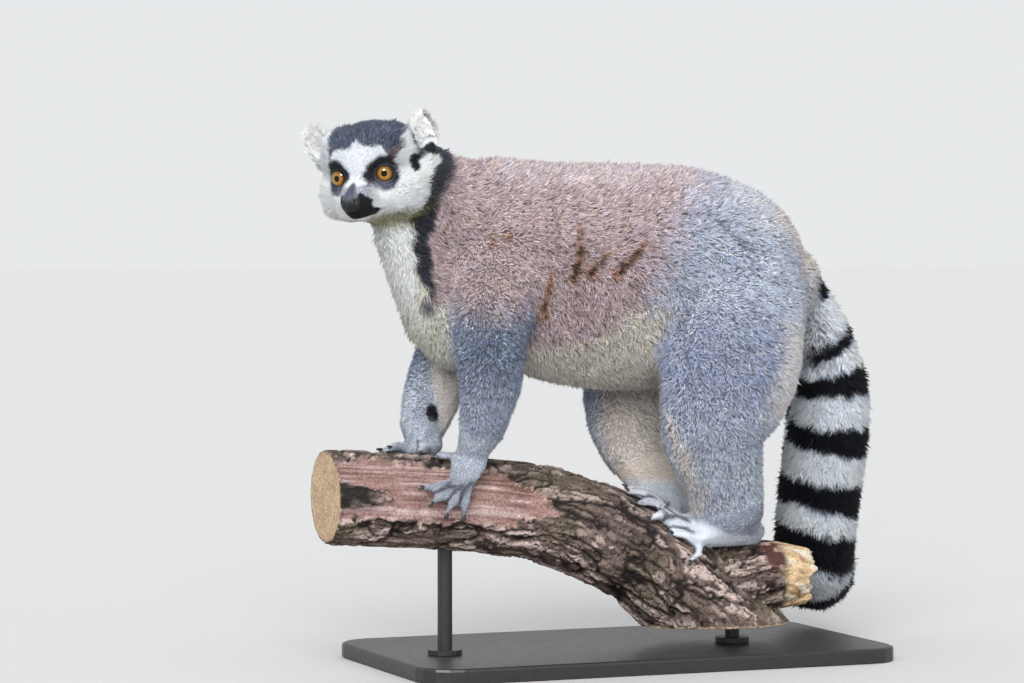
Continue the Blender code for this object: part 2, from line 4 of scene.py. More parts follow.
import bmesh
import bpy
import numpy as np
from mathutils import Matrix, Vector
from mathutils.bvhtree import BVHTree
from mathutils.kdtree import KDTree


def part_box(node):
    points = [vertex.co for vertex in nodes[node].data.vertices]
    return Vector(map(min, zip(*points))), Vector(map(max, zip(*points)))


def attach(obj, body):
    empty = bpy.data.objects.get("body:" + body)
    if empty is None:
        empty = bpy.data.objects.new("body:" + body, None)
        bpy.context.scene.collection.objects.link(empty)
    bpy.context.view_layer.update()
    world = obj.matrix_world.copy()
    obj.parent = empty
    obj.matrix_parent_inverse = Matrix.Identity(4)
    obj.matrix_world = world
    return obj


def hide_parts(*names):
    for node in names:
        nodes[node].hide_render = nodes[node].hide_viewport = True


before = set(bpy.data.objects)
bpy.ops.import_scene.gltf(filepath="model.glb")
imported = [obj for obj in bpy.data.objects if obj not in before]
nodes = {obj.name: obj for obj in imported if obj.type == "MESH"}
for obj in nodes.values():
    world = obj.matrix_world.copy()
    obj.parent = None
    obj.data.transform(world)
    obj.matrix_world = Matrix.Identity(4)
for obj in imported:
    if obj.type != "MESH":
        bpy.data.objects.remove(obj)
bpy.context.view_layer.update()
mm = 0.001

# Places below are in the animal's own millimetres: it faces -x, its left side is -y, and the
# middle of the stand's base is at (10, 25), its underside at z = 4. Its left side is the near one.
baseLow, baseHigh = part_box("stand_base")
origin = Vector(((baseLow.x + baseHigh.x) / 2, (baseLow.y + baseHigh.y) / 2, baseLow.z))
origin -= Vector((10, 25, 4)) * mm
originRow = np.array(origin)

# Head axes: forward, left and up. The head is turned to the left, nose down, left ear up.
headPose = {"yaw": 51, "pitch": 6, "roll": 6, "eye": (21, 17.8, 2), "eyeRadius": 8.6, "eyeSpread": 17}


def middleOf(name):
    low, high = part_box(name)
    return (low + high) / 2


def headTurn():
    yaw = math.radians(headPose["yaw"])
    forward = Vector((-math.cos(yaw), -math.sin(yaw), 0))
    up = Vector((0, 0, 1))
    turn = Matrix((forward, up.cross(forward), up)).transposed()
    pitch = Matrix.Rotation(math.radians(headPose["pitch"]), 3, "Y")
    return turn @ pitch @ Matrix.Rotation(math.radians(headPose["roll"]), 3, "X")


headAxes = headTurn()
eyeForward, _, eyeUp = headPose["eye"]
headOrigin = (middleOf("eye_left") + middleOf("eye_right")) / 2
headOrigin -= headAxes @ Vector((eyeForward, 0, eyeUp)) * mm
headOriginRow, headRows = np.array(headOrigin), np.array(headAxes)


def bodyPlace(points):  # frame metres to the animal's millimetres
    return (points - originRow) / mm


def headPlace(points):  # frame metres to the head's millimetres
    return (points - headOriginRow) @ headRows / mm


# Numbers and noise, worked out for many points at once.
def smoothStep(low, high, x):
    t = np.clip((x - low) / (high - low), 0, 1)
    return t * t * (3 - 2 * t)


def mixed(a, b, share):
    return a + (np.asarray(b) - a) * share[:, None]


def waver(points, size, seed, height):  # noise about 0, up and down by half the height
    return (noise(points, size, seed) - 0.5) * height


def unit(rows):
    return rows / np.maximum(np.linalg.norm(rows, axis=1, keepdims=True), 1e-12)


def curveAt(x, table):  # straight between the chosen places of a table {x: y}
    places = sorted(table)
    return np.interp(x, places, [table[place] for place in places])


def cellNumbers(cells, seed):  # one number from 0 to 1 for each whole-numbered cell
    n = cells.astype(np.int64)
    h = n[:, 0] * 73856093 ^ n[:, 1] * 19349663 ^ n[:, 2] * 83492791 ^ seed * 2654435761
    h = (h ^ (h >> 13)) * 1274126177 & 0xFFFFFFFF
    h = (h ^ (h >> 16)) * 2246822519 & 0xFFFFFFFF
    return ((h ^ (h >> 15)) & 0xFFFFFF) / 0xFFFFFF


def noise(points, size, seed=0):  # smooth noise from 0 to 1, about size across
    cell = points / size + 31.7
    low = np.floor(cell)
    share = cell - low
    share = share * share * (3 - 2 * share)
    total = np.zeros(len(points))
    for corner in product((0, 1), repeat=3):
        weight = np.prod(np.where(corner, share, 1 - share), axis=1)
        total += weight * cellNumbers(low + corner, seed)
    return total


def toPath(points, path):  # distance to a chain of straight lines, and the place along it
    best = np.full(len(points), 1e9)
    along = np.zeros(len(points))
    gone = 0.0
    for a, b in zip(path, path[1:]):
        a, b = np.asarray(a, float), np.asarray(b, float)
        step = b - a
        length = np.linalg.norm(step)
        t = np.clip((points - a) @ step / length ** 2, 0, 1)
        far = np.linalg.norm(points - a - t[:, None] * step, axis=1)
        nearer = far < best
        best[nearer] = far[nearer]
        along[nearer] = gone + t[nearer] * length
        gone += length
    return best, along


def smoothPath(rows, steps):  # a curve through rows of numbers, with so many steps from row to row
    rows = [np.array(row, float) for row in rows]
    rows = [2 * rows[0] - rows[1], *rows, 2 * rows[-1] - rows[-2]]
    out = []
    for a, b, c, d in zip(rows, rows[1:], rows[2:], rows[3:]):
        for k in range(steps):
            t = k / steps
            out.append(0.5 * (2 * b + (c - a) * t + (2 * a - 5 * b + 4 * c - d) * t * t
                              + (3 * b - a - 3 * c + d) * t ** 3))
    return np.array(out + [rows[-2]])


# Meshes: reading, moving and colouring them.
def objectOf(name, mesh):
    made = bpy.data.objects.new(name, mesh)
    bpy.context.scene.collection.objects.link(made)
    return made


def meshOf(bm, name):
    mesh = bpy.data.meshes.new(name)
    bm.to_mesh(mesh)
    bm.free()
    return mesh


def applied(obj):
    graph = bpy.context.evaluated_depsgraph_get()
    mesh = bpy.data.meshes.new_from_object(obj.evaluated_get(graph))
    obj.modifiers.clear()
    obj.data = mesh
    return obj


def rowsOf(items, name, kind=np.float32, columns=3):
    rows = np.empty(len(items) * columns, kind)
    items.foreach_get(name, rows)
    return rows.reshape(-1, columns)


def verticesOf(mesh):
    return rowsOf(mesh.vertices, "co").astype(float)


def normalsOf(mesh):
    return rowsOf(mesh.vertex_normals, "vector").astype(float)


def trianglesOf(mesh):
    mesh.calc_loop_triangles()
    return rowsOf(mesh.loop_triangles, "vertices", np.int32)


def edgesOf(mesh):
    return rowsOf(mesh.edges, "vertices", np.int32, 2)


def remeshed(obj, voxel, smoothing):  # one even, closed surface in place of what overlaps
    grid = obj.modifiers.new("fuse", "REMESH")
    grid.mode = "VOXEL"
    grid.voxel_size = voxel * mm
    soften = obj.modifiers.new("soften", "SMOOTH")
    soften.iterations = smoothing
    return applied(obj)


def moveTo(mesh, points):
    mesh.vertices.foreach_set("co", points.astype(np.float32).ravel())
    mesh.update()


def relaxed(values, edges, times, share=0.5):  # evens values out over a mesh's edges
    values = np.asarray(values, float)
    flat = values.reshape(len(values), -1)
    count = len(flat)
    near = np.maximum(np.bincount(edges.ravel(), minlength=count), 1)
    for _ in range(times):
        mean = np.empty_like(flat)
        for k in range(flat.shape[1]):
            column = flat[:, k]
            mean[:, k] = np.bincount(edges[:, 0], column[edges[:, 1]], count)
            mean[:, k] += np.bincount(edges[:, 1], column[edges[:, 0]], count)
        flat = flat + (mean / near[:, None] - flat) * share
    return flat.reshape(values.shape)


def setAttribute(mesh, name, rows):
    rows = np.asarray(rows, np.float32)
    if rows.ndim == 1:
        mesh.attributes.new(name, "FLOAT", "POINT").data.foreach_set("value", rows)
    else:
        rgba = np.concatenate([rows, np.ones((len(rows), 1), np.float32)], axis=1)
        mesh.attributes.new(name, "FLOAT_COLOR", "POINT").data.foreach_set("color", rgba.ravel())


def closedCopy(name, swell=0.0):  # a CAD node's triangles joined at their corners, and swelled
    bm = bmesh.new()
    bm.from_mesh(nodes[name].data)
    bmesh.ops.remove_doubles(bm, verts=bm.verts, dist=1e-5)
    bm.normal_update()
    for vert, normal in [(v, v.normal.copy()) for v in bm.verts]:
        vert.co += normal * swell
    return meshOf(bm, name + "_copy")


# Shaders, written as expressions.
class Wire:  # a socket, so that shader maths is written as an expression
    def __init__(self, finish, socket):
        self.finish = finish
        self.socket = socket

    def maths(self, operation, a, b):
        return self.finish.node("Math", {"operation": operation}, {0: a, 1: b})

    def __add__(self, other):
        return self.maths("ADD", self, other)

    def __sub__(self, other):
        return self.maths("SUBTRACT", self, other)

    def __rsub__(self, other):
        return self.maths("SUBTRACT", other, self)

    def __mul__(self, other):
        return self.maths("MULTIPLY", self, other)

    __radd__, __rmul__ = __add__, __mul__


class Finish:  # a Principled material and the nodes behind it
    def __init__(self, name, **constants):
        self.material = bpy.data.materials.new(name)
        self.material.use_nodes = True
        self.tree = self.material.node_tree
        self.shader = self.tree.nodes["Principled BSDF"]
        for socket, value in constants.items():
            self.shader.inputs[socket.replace("_", " ")].default_value = value

    def node(self, kind, settings=None, sockets=None, output=0):
        made = self.tree.nodes.new("ShaderNode" + kind)
        for key, value in (settings or {}).items():
            if key == "stops":
                while len(made.color_ramp.elements) < len(value):
                    made.color_ramp.elements.new(0.5)
                for element, (place, colour) in zip(made.color_ramp.elements, value):
                    element.position = place
                    element.color = (*colour, 1)
            else:
                setattr(made, key, value)
        for key, value in (sockets or {}).items():
            self.join(made.inputs[key], value)
        return Wire(self, made.outputs[output])

    def join(self, socket, value):
        if isinstance(value, Wire):
            self.tree.links.new(value.socket, socket)
        else:
            socket.default_value = value

    def feed(self, **sockets):
        for name, value in sockets.items():
            self.join(self.shader.inputs[name.replace("_", " ")], value)

    def noise(self, scale, detail, vector=None):  # on Object coordinates, if no vector is given
        vector = vector or self.node("TexCoord", output=3)
        return self.node("TexNoise", None, {"Scale": scale, "Detail": detail, "Vector": vector})

    def ramp(self, value, stops):
        return self.node("ValToRGB", {"stops": stops}, {"Fac": value})

    def blend(self, a, b, factor, kind="MIX"):
        settings = {"data_type": "RGBA", "blend_type": kind, "clamp_factor": True}
        return self.node("Mix", settings, {0: factor, 6: a, 7: b}, output=2)

    def shade(self, colour, level):  # a colour times a number
        grey = self.node("CombineColor", None, {0: level, 1: level, 2: level})
        return self.blend(colour, grey, 1.0, "MULTIPLY")

    def bump(self, height, strength, distance):
        sockets = {"Height": height, "Strength": strength, "Distance": distance}
        self.feed(Normal=self.node("Bump", None, sockets))

    def attribute(self, name, number=False):
        return self.node("Attribute", {"attribute_name": name}, output=2 if number else 0)


# Camera, floor and light.
view = {"azimuth": -22, "elevation": 2, "distance": 3.0, "lens": 130, "aim": (-87, 0, 269)}


def makeCamera():
    turn, lift = math.radians(view["azimuth"]), math.radians(view["elevation"])
    back = Vector((math.sin(turn) * math.cos(lift), -math.cos(turn) * math.cos(lift), math.sin(lift)))
    x, y, z = view["aim"]
    target = origin + Vector((x / math.cos(turn), y, z)) * mm
    data = bpy.data.cameras.new("camera")
    data.lens = view["lens"]
    data.sensor_width = 36
    data.clip_end = 50
    camera = objectOf("camera", data)
    camera.location = target + back * view["distance"]
    camera.rotation_euler = (-back).to_track_quat("-Z", "Y").to_euler()
    bpy.context.scene.camera = camera


studio = {
    # sun: direction it shines from, strength, width in degrees, colour
    "key": ((-0.5, -1.0, 0.62), 2.7, 40, (1.0, 0.985, 0.96)),
    "back": ((0.8, 0.9, 0.9), 0.35, 50, (0.97, 0.985, 1.0)),
}
softbox = {"spot": (-0.76, -1.10, 1.22), "aim": (-0.15, 0, 0.38), "size": 0.5, "power": 60}  # for glints only
backdrop = (0.80, 0.815, 0.83)
floorTones = ((0.60, 0.60, 0.60, 1), (0.625, 0.625, 0.625, 1))


def aimed(name, data, spot, target):
    lamp = objectOf(name, data)
    lamp.location = spot
    lamp.rotation_euler = (target - Vector(spot)).to_track_quat("-Z", "Y").to_euler()
    return lamp


def makeStudio():
    for name, (spot, strength, width, colour) in studio.items():
        data = bpy.data.lights.new(name, "SUN")
        data.energy = strength
        data.angle = math.radians(width)
        data.color = colour
        aimed(name, data, spot, Vector()).visible_glossy = False
    data = bpy.data.lights.new("softbox", "AREA")
    data.size = softbox["size"]
    data.energy = softbox["power"]
    aimed("softbox", data, softbox["spot"], Vector(softbox["aim"])).visible_diffuse = False
    world = bpy.data.worlds.new("studio")
    world.use_nodes = True
    world.node_tree.nodes["Background"].inputs["Color"].default_value = (*backdrop, 1)
    bpy.context.scene.world = world
    bpy.context.scene.view_settings.view_transform = "Standard"
    bm = bmesh.new()
    bmesh.ops.create_grid(bm, x_segments=1, y_segments=1, size=20)
    bmesh.ops.translate(bm, verts=bm.verts, vec=(0, 0, baseLow.z - 0.0005))
    floor = objectOf("floor", meshOf(bm, "floor"))
    finish = Finish("floor_paint", Roughness=0.9, Specular_IOR_Level=0.1)
    finish.feed(Base_Color=finish.blend(*floorTones, finish.noise(3.0, 4)))
    floor.data.materials.append(finish.material)


makeCamera()
makeStudio()
print("camera, floor and lights are in place")


# Where the tail, the branch and the digits run.
away = np.array((0.375, 0.927, 0))  # straight away from the near side
behind = np.array((0.469, 0.883, 0))  # the way the tail turns off and rises, out of the near side's sight
tailHang = (
    # x in the near plane, distance away from it, z, radius
    (146, 0, 332, 17), (163, 0, 316, 17.5), (178, 3, 296, 19.5), (190, 8, 262, 26), (197, 16, 222, 32),
    (195, 30, 182, 34.5), (190, 46, 140, 35.5), (187, 56, 108, 35),
)
tailTurn = {  # the bend at the bottom: steps are degrees round it and the tail's radius there
    "x": 185, "z": 108, "out": 58, "radius": 46, "steps": ((40, 34.5), (85, 34), (130, 33), (172, 32)),
}
# distance behind the bend's start, z, radius
tailRise = ((91, 142, 31), (93, 172, 29), (98, 202, 26), (106, 228, 21), (117, 248, 14))
branchRows = (
    # x, y, z, radius
    (-290, 6, 149, 37), (-240, 6, 146, 38), (-122, 5, 137, 38), (-52, 3, 124, 40), (13, 1, 95, 41),
    (50, 0, 66, 43), (93, 0, 26, 47), (116, 0, 0, 50), (150, 0, -38, 52),
)
stubRows = ((60, 0, 50, 20), (94, -4, 66, 31), (126, -5, 71, 30), (150, -5, 70, 27), (168, -6, 69, 22))


def tailPath():
    rows = [(*(np.array((x, 0, z)) + away * out), radius) for x, out, z, radius in tailHang]
    start = np.array((tailTurn["x"], 0, tailTurn["z"])) + away * tailTurn["out"]
    for degrees, radius in tailTurn["steps"]:
        angle = math.radians(degrees)
        spot = start + behind * tailTurn["radius"] * (1 - math.cos(angle))
        spot[2] -= tailTurn["radius"] * math.sin(angle)
        rows.append((*spot, radius))
    for out, height, radius in tailRise:
        spot = start + behind * out
        rows.append((spot[0], spot[1], height, radius))
    return smoothPath(rows, 6)


class Route:  # a path with its place along, direction and radius
    def __init__(self, rows):
        self.spots, self.radii = rows[:, :3], rows[:, 3]
        steps = np.linalg.norm(np.diff(self.spots, axis=0), axis=1)
        self.along = np.concatenate([[0], np.cumsum(steps)])
        self.headings = unit(np.gradient(self.spots, axis=0))

    def nearest(self, points, lot=20000):  # lot by lot, to save memory
        found = np.empty(len(points), int)
        for start in range(0, len(points), lot):
            some = points[start:start + lot]
            far = ((some[:, None] - self.spots[None]) ** 2).sum(2)
            found[start:start + lot] = far.argmin(1)
        return found

    def place(self, points):  # place along, heading, and the vector out from the path
        k = self.nearest(points)
        out = points - self.spots[k]
        ahead = (out * self.headings[k]).sum(1)
        return self.along[k] + ahead, self.headings[k], out - self.headings[k] * ahead[:, None]


tail = Route(tailPath())
branch = Route(smoothPath(branchRows, 10))
stub = Route(smoothPath(stubRows, 8))

digits = {
    # each digit's root, last joint and tip: place along x, turn in degrees from the branch's top
    "hands": (
        ((-157, 66), (-171, 69), (-184, 72)), ((-153, 63), (-166, 77), (-176, 88)),
        ((-149, 61), (-158, 82), (-163, 99)), ((-145, 58), (-150, 80), (-149, 100)),
        ((-148, 40), (-156, 28), (-167, 25)),
        ((-180, -20), (-189, -12), (-198, -4)), ((-176, -23), (-189, -22), (-201, -22)),
        ((-172, -25), (-186, -31), (-197, -40)), ((-168, -28), (-180, -41), (-187, -56)),
        ((-164, -6), (-172, 6), (-178, 18)),
    ),
    "feet": (
        ((28, 30), (20, 31), (12, 32)), ((29, 40), (21, 42), (14, 45)), ((32, 50), (26, 53), (20, 56)),
        ((38, 58), (37, 64), (37, 70)), ((36, 10), (26, -8), (20, -34)),
        ((8, 10), (-2, 9), (-13, 8)), ((8, 20), (-3, 21), (-14, 22)), ((10, 30), (0, 34), (-9, 38)),
        ((14, 40), (8, 47), (2, 54)), ((14, -4), (4, -22), (-2, -44)),
    ),
}
digitLift = 2.8  # from the bark to a digit's middle, mm


def onBranch(x, degrees, lift):
    k = int(np.abs(branch.spots[:, 0] - x).argmin())
    heading = Vector(branch.headings[k])
    near = heading.cross(Vector((0, 0, 1))).normalized()
    angle = math.radians(degrees)
    out = math.cos(angle) * near.cross(heading) + math.sin(angle) * near
    centre = Vector(branch.spots[k]) + heading * (x - branch.spots[k, 0]) / heading.x
    return centre + out * (branch.radii[k] + lift), out


def digitGaps(p):  # 1 midway between two digits, 0 along each of them: where shade between the digits is painted
    nearest, second, reached = np.full(len(p), 1e3), np.full(len(p), 1e3), np.zeros(len(p))
    for rows in digits.values():
        for row in rows:
            path = [np.array(onBranch(*spot, digitLift)[0]) for spot in row]
            far, along = toPath(p, path)
            share = along / np.linalg.norm(path[-1] - path[0])
            closer = far < nearest
            second = np.where(closer, nearest, np.minimum(second, far))
            reached = np.where(closer, share, reached)
            nearest = np.where(closer, far, nearest)
    return smoothStep(0.62, 0.92, nearest / second) * smoothStep(0.05, 0.3, reached) * (second < 14)


# What the coat is made of, and which node of flesh a point belongs to.
coat = {
    # kind: depth to the skin, hair length, tuft width (mm), tufts for each mm2, lift in degrees
    "face": (1.0, 2.6, 0.45, 2.7, 26),
    "head": (2.5, 5.0, 0.5, 2.0, 42),
    "ear": (1.0, 8.0, 0.6, 2.6, 24),
    "neck": (6.0, 8.6, 0.6, 1.05, 52),
    "trunk": (6.0, 8.4, 0.6, 0.92, 56),
    "upper_arm": (4.5, 6.6, 0.56, 1.08, 52),
    "forearm": (3.5, 5.2, 0.52, 1.3, 48),
    "hand": (0.8, 2.7, 0.42, 1.9, 18),
    "thigh": (5.5, 7.8, 0.6, 0.92, 54),
    "shank": (4.0, 5.8, 0.56, 1.03, 50),
    "foot": (1.0, 3.0, 0.5, 1.5, 20),
    "tail": (7.0, 10.5, 0.7, 0.84, 46),
}
fleshNames = sorted(n for n in nodes if not n.startswith(("eye", "perch", "stand")))


def kindOf(name):
    return next(kind for kind in coat if name.startswith(kind))


fleshKinds = np.array([kindOf(name) for name in fleshNames])


def signOf(name):  # 1 for the animal's left side, -1 for its right
    return 1 if name.endswith("left") else -1


def shareOf(shares, *kinds):  # how far each point belongs to nodes of these kinds
    return shares[:, np.isin(fleshKinds, kinds)].sum(1)


def byNode(shares, give):  # adds up what each node gives its points, by their shares
    total = np.zeros((len(shares), 3))
    for k, name in enumerate(fleshNames):
        some = shares[:, k] > 0.01
        if some.any():
            total[some] += give(name, some) * shares[some, k][:, None]
    return total


recipes = np.array([coat[kind] for kind in fleshKinds], float)


def fleshSurface():
    points, faces, owner = [], [], []
    for k, name in enumerate(fleshNames):
        rows, triangles = verticesOf(nodes[name].data), trianglesOf(nodes[name].data)
        faces.append(triangles + sum(len(p) for p in points))
        points.append(rows)
        owner += [k] * len(triangles)
    tree = BVHTree.FromPolygons(np.concatenate(points).tolist(), np.concatenate(faces).tolist())
    return tree, np.array(owner)


fleshTree, fleshOwner = fleshSurface()


def ownerOf(points):  # the number of the node of flesh that is nearest
    return fleshOwner[np.array([fleshTree.find_nearest(p)[2] for p in points.tolist()])]


def nodeShares(points, edges, rounds):  # how far each point belongs to each node of flesh
    shares = np.zeros((len(points), len(fleshNames)))
    shares[np.arange(len(points)), ownerOf(points)] = 1
    return relaxed(shares, edges, rounds)


# The markings, which skin and coat share.
tones = {
    "white": (0.9, 0.93, 0.97), "brow": (0.66, 0.70, 0.78), "throat": (0.644, 0.644, 0.57),
    "shade": (0.198, 0.184, 0.063), "crown": (0.0675, 0.081, 0.122), "temple": (0.20, 0.155, 0.14),
    "collar": (0.039, 0.0413, 0.054), "bridge": (0.0675, 0.0765, 0.117), "noseSide": (0.30, 0.33, 0.42),
    "black": (0.012, 0.013, 0.015), "patch": (0.016, 0.018, 0.026), "patchLow": (0.10, 0.11, 0.165),
    "earCupShade": (0.25, 0.26, 0.33), "brown": (0.473, 0.374, 0.387), "litTopBrown": (0.525, 0.435, 0.459),
    "shadedLowBrown": (0.446, 0.351, 0.366), "shoulder": (0.27, 0.215, 0.232), "blueGrey": (0.452, 0.496, 0.635),
    "rump": (0.539, 0.557, 0.652), "tan": (0.68, 0.58, 0.52), "cream": (0.598, 0.554, 0.493),
    "armGrey": (0.185, 0.222, 0.305), "farArm": (0.84, 0.76, 0.71), "pale": (0.492, 0.541, 0.656),
    "lowThigh": (0.35, 0.39, 0.53), "legFront": (0.78, 0.70, 0.65), "legRear": (0.80, 0.76, 0.745),
    "legInner": (0.74, 0.66, 0.59), "nearFoot": (0.72, 0.77, 0.88), "nearAnkle": (0.40, 0.44, 0.55),
    "farFootInShade": (0.62, 0.67, 0.77), "farAnkle": (0.70, 0.62, 0.55), "digit": (0.43, 0.465, 0.55),
    "digitGapShade": (0.085, 0.09, 0.12), "tailRoot": (0.50, 0.50, 0.53), "tailInnerShade": (0.40, 0.41, 0.45),
    "ringWhite": (0.74, 0.80, 0.92), "ringBlack": (0.005, 0.006, 0.009), "gland": (0.27, 0.252, 0.27),
    "slitSkinAndShade": (0.02, 0.014, 0.012), "slitEdge": (0.342, 0.18, 0.104), "greySlitEdgeShade": (0.16, 0.15, 0.17),
}
face = {  # edges of the markings on the head, in its own millimetres
    "patchMiddle": (18, 2),
    "patchRadius": {0: 10.3, 30: 12, 60: 15.5, 90: 14, 120: 12, 150: 11.8, 180: 12.8, 210: 9.8,
                    240: 9.3, 270: 13, 300: 14.8, 330: 12.6, 360: 10.3},
    "capEdge": {0: 29.6, 4.5: 26.5, 10: 24.5, 15: 24.5, 20: 24, 23: 18, 26: 12, 29: 14, 34: 20},
    "cheekBack": {-60: -14, -50: -8, -42: -2, -36: 3, -33: 5.5, -30: 3, -24: 0, -17: -3, -9: -6,
                  -0.5: -14, 4: -25, 9: -24, 14: -14, 20: -8, 26: -4, 40: 0},
    "bridgeHalf": {0: 0, -3: 2.5, -8: 4.6, -12: 5.6, -16: 5},
    "muzzleFront": {-32: 70, -29.5: 45, -28.4: 31, -26: 26, -24: 28, -23: 33.7, -20.9: 38.4,
                    -16.6: 39.5, -14.3: 45, -12.7: 50, -9.8: 52, -8: 70},
    "earOpening": ((-12, 47.2, 15.4), (-7, 41.8, 13.4), (-3, 34.6, 8.6), (-3, 36.2, 1.5)),
}
collar = {  # x of an edge by its height
    "whiteEdge": {255: -172, 290: -168, 307: -177, 314: -181, 327: -189, 340: -191, 350: -196, 372: -198},
    "brownEdge": {255: -174, 300: -174, 317: -175, 331: -178, 353: -178, 374: -176, 400: -172},
}


def onFace(h):  # the front of the head, where the hair is short
    return smoothStep(8, 18, h[:, 0]) * smoothStep(30, 20, h[:, 2]) * smoothStep(32, 24, np.abs(h[:, 1]))


def bridgeShare(forward, side, up):  # the nearly bare, blue-grey bridge of the nose
    bridge = smoothStep(1.5, -2, side - curveAt(up, face["bridgeHalf"])) * smoothStep(34, 42, forward)
    return bridge * smoothStep(1, -3, up) * smoothStep(-22, -17, up)


def earBase(h):  # the white hair at the foot of each ear, on the side of the crown
    edge = np.abs(h[:, 1] - 4.5) + waver(h, 3.0, 21, 4)
    return smoothStep(27.5, 32, edge) * smoothStep(-20, -13, h[:, 0]) * smoothStep(2, 10, h[:, 2])


def headMarkings(h):
    forward, side, up = h[:, 0], np.abs(h[:, 1]), h[:, 2]
    wobble = waver(h, 3.0, 3, 2.4)
    brow = smoothStep(-4, 4, up) * smoothStep(10, 20, forward)
    colour = mixed(tones["white"], tones["brow"], 0.8 * brow)
    under = smoothStep(-27, -36, up) * smoothStep(40, 20, forward)
    colour = mixed(colour, tones["throat"], 0.7 * under)
    cap = smoothStep(-1.5, 1.5, up - curveAt(side, face["capEdge"]) + wobble)
    cap *= 1 - earBase(h)
    colour = mixed(colour, tones["crown"], cap)
    nape = smoothStep(-2.5, 2.5, curveAt(up, face["cheekBack"]) - forward + wobble)
    colour = mixed(colour, mixed(tones["collar"], tones["crown"], smoothStep(0, 25, up)), nape)
    temple = cap * smoothStep(20, 25, side) * smoothStep(24, 17, up)
    colour = mixed(colour, tones["temple"], 0.7 * temple)
    grey = smoothStep(24, 32, forward) * smoothStep(-2, -6, up) * smoothStep(-18, -12, up)
    colour = mixed(colour, tones["noseSide"], 0.75 * grey * smoothStep(16, 9, side))
    colour = mixed(colour, tones["bridge"], bridgeShare(forward, side, up))
    middleSide, middleUp = face["patchMiddle"]
    turn = np.degrees(np.arctan2(up - middleUp, side - middleSide)) % 360
    far = np.hypot(side - middleSide, up - middleUp) - curveAt(turn, face["patchRadius"])
    patch = smoothStep(2.2, -2.2, far + 0.9 * wobble) * smoothStep(2, 8, forward)
    inner = smoothStep(-14, -2, middleSide - side) * smoothStep(-1, -9, up - middleUp)
    colour = mixed(colour, mixed(tones["patch"], tones["patchLow"], inner), patch)
    muzzle = smoothStep(-2.6, 2.6, forward - curveAt(up, face["muzzleFront"]) + wobble)
    muzzle *= 1 - smoothStep(7.5, 4.0, side) * smoothStep(-14.5, -10.5, up)
    colour = mixed(colour, tones["black"], muzzle)
    # painted shade under the jaw, olive-tinted, laid over the white
    jawShade = smoothStep(-25, -33, up) * smoothStep(44, 30, forward) * (h[:, 1] > -6)
    colour = mixed(colour, tones["shade"], 0.75 * jawShade)
    inFront = smoothStep(-17, -13, forward)
    # painted shadow: the near ear's opening, black
    return mixed(colour, tones["black"], openingShare(h) * inFront * (h[:, 1] > 28))


def openingShare(h, reach=5):  # the near ear's opening, painted black as the shadow in its hollow, where it shows across the head's side
    across = np.array((0.35, 1, 1))
    far, along = toPath(h * across, [np.array(place) * across for place in face["earOpening"]])
    return smoothStep(1, -1, far - reach + 2.2 * along / along.max() + waver(h, 2.5, 14, 1.6))


def earMarkings(h):
    forward = smoothStep(-14, -6, h[:, 0]) * (h[:, 1] > 0)
    # grey streaks of painted shade in the near ear's cup, between its white hairs
    streaks = smoothStep(0.5, 0.8, noise(h * (1, 1, 0.3), 2.5, 4)) * smoothStep(36, 18, h[:, 2])
    colour = mixed(tones["white"], tones["earCupShade"], 0.6 * streaks * forward)
    # painted shadow: the near ear's opening, black
    return mixed(colour, tones["black"], openingShare(h) * smoothStep(-21, -16, h[:, 0]))


partings = (
    # dark slits where the coat opens, on the near side's flank, rump and thigh, from the top down: dark skin
    # and painted shade in the parting
    ((-57, -54, 364), (-56, -58, 348), (-59, -59, 334), (-63, -59, 320)),
    ((-34, -60, 341), (-42, -61, 332), (-49, -60, 324)),
    ((-1, -60, 351), (-12, -62, 338), (-27, -62, 324)),
    ((-82, -57, 324), (-85, -54, 304), (-86, -50, 289)),
    ((-141, -47, 359), (-129, -49, 349)),
    ((-124, -50, 361), (-118, -51, 353)),
    ((56, -53, 377), (65, -58, 366), (81, -62, 351), (96, -62, 343)),
    ((41, -66, 310), (35, -66, 295), (27, -64, 280)),
)


def partingNearness(p):  # 1 in the middle of a slit, falling to 0 at its soft edge
    near = np.zeros(len(p))
    some = (p[:, 2] > 270) & (p[:, 1] < -35)
    inside = p[some]
    value = np.zeros(len(inside))
    for path in partings:
        far, along = toPath(inside, path)
        reach = 5 + 4.5 * along / along.max()  # a slit widens downwards
        ragged = far + 3 * (noise(inside, 4, 9) - 0.2)
        value = np.maximum(value, smoothStep(1, 0.1, ragged / reach))
    near[some] = value
    return near


trunk = {  # x of the grey's front edge by its height, and the height of the belly's edge by x
    "greyEdge": {270: 0, 279: 4, 303: 14, 343: 24, 367: 34, 392: 62, 403: 70},
    "bellyEdge": {-120: 250, -66: 270, -30: 276, -7: 292, 20: 300, 120: 270},
}


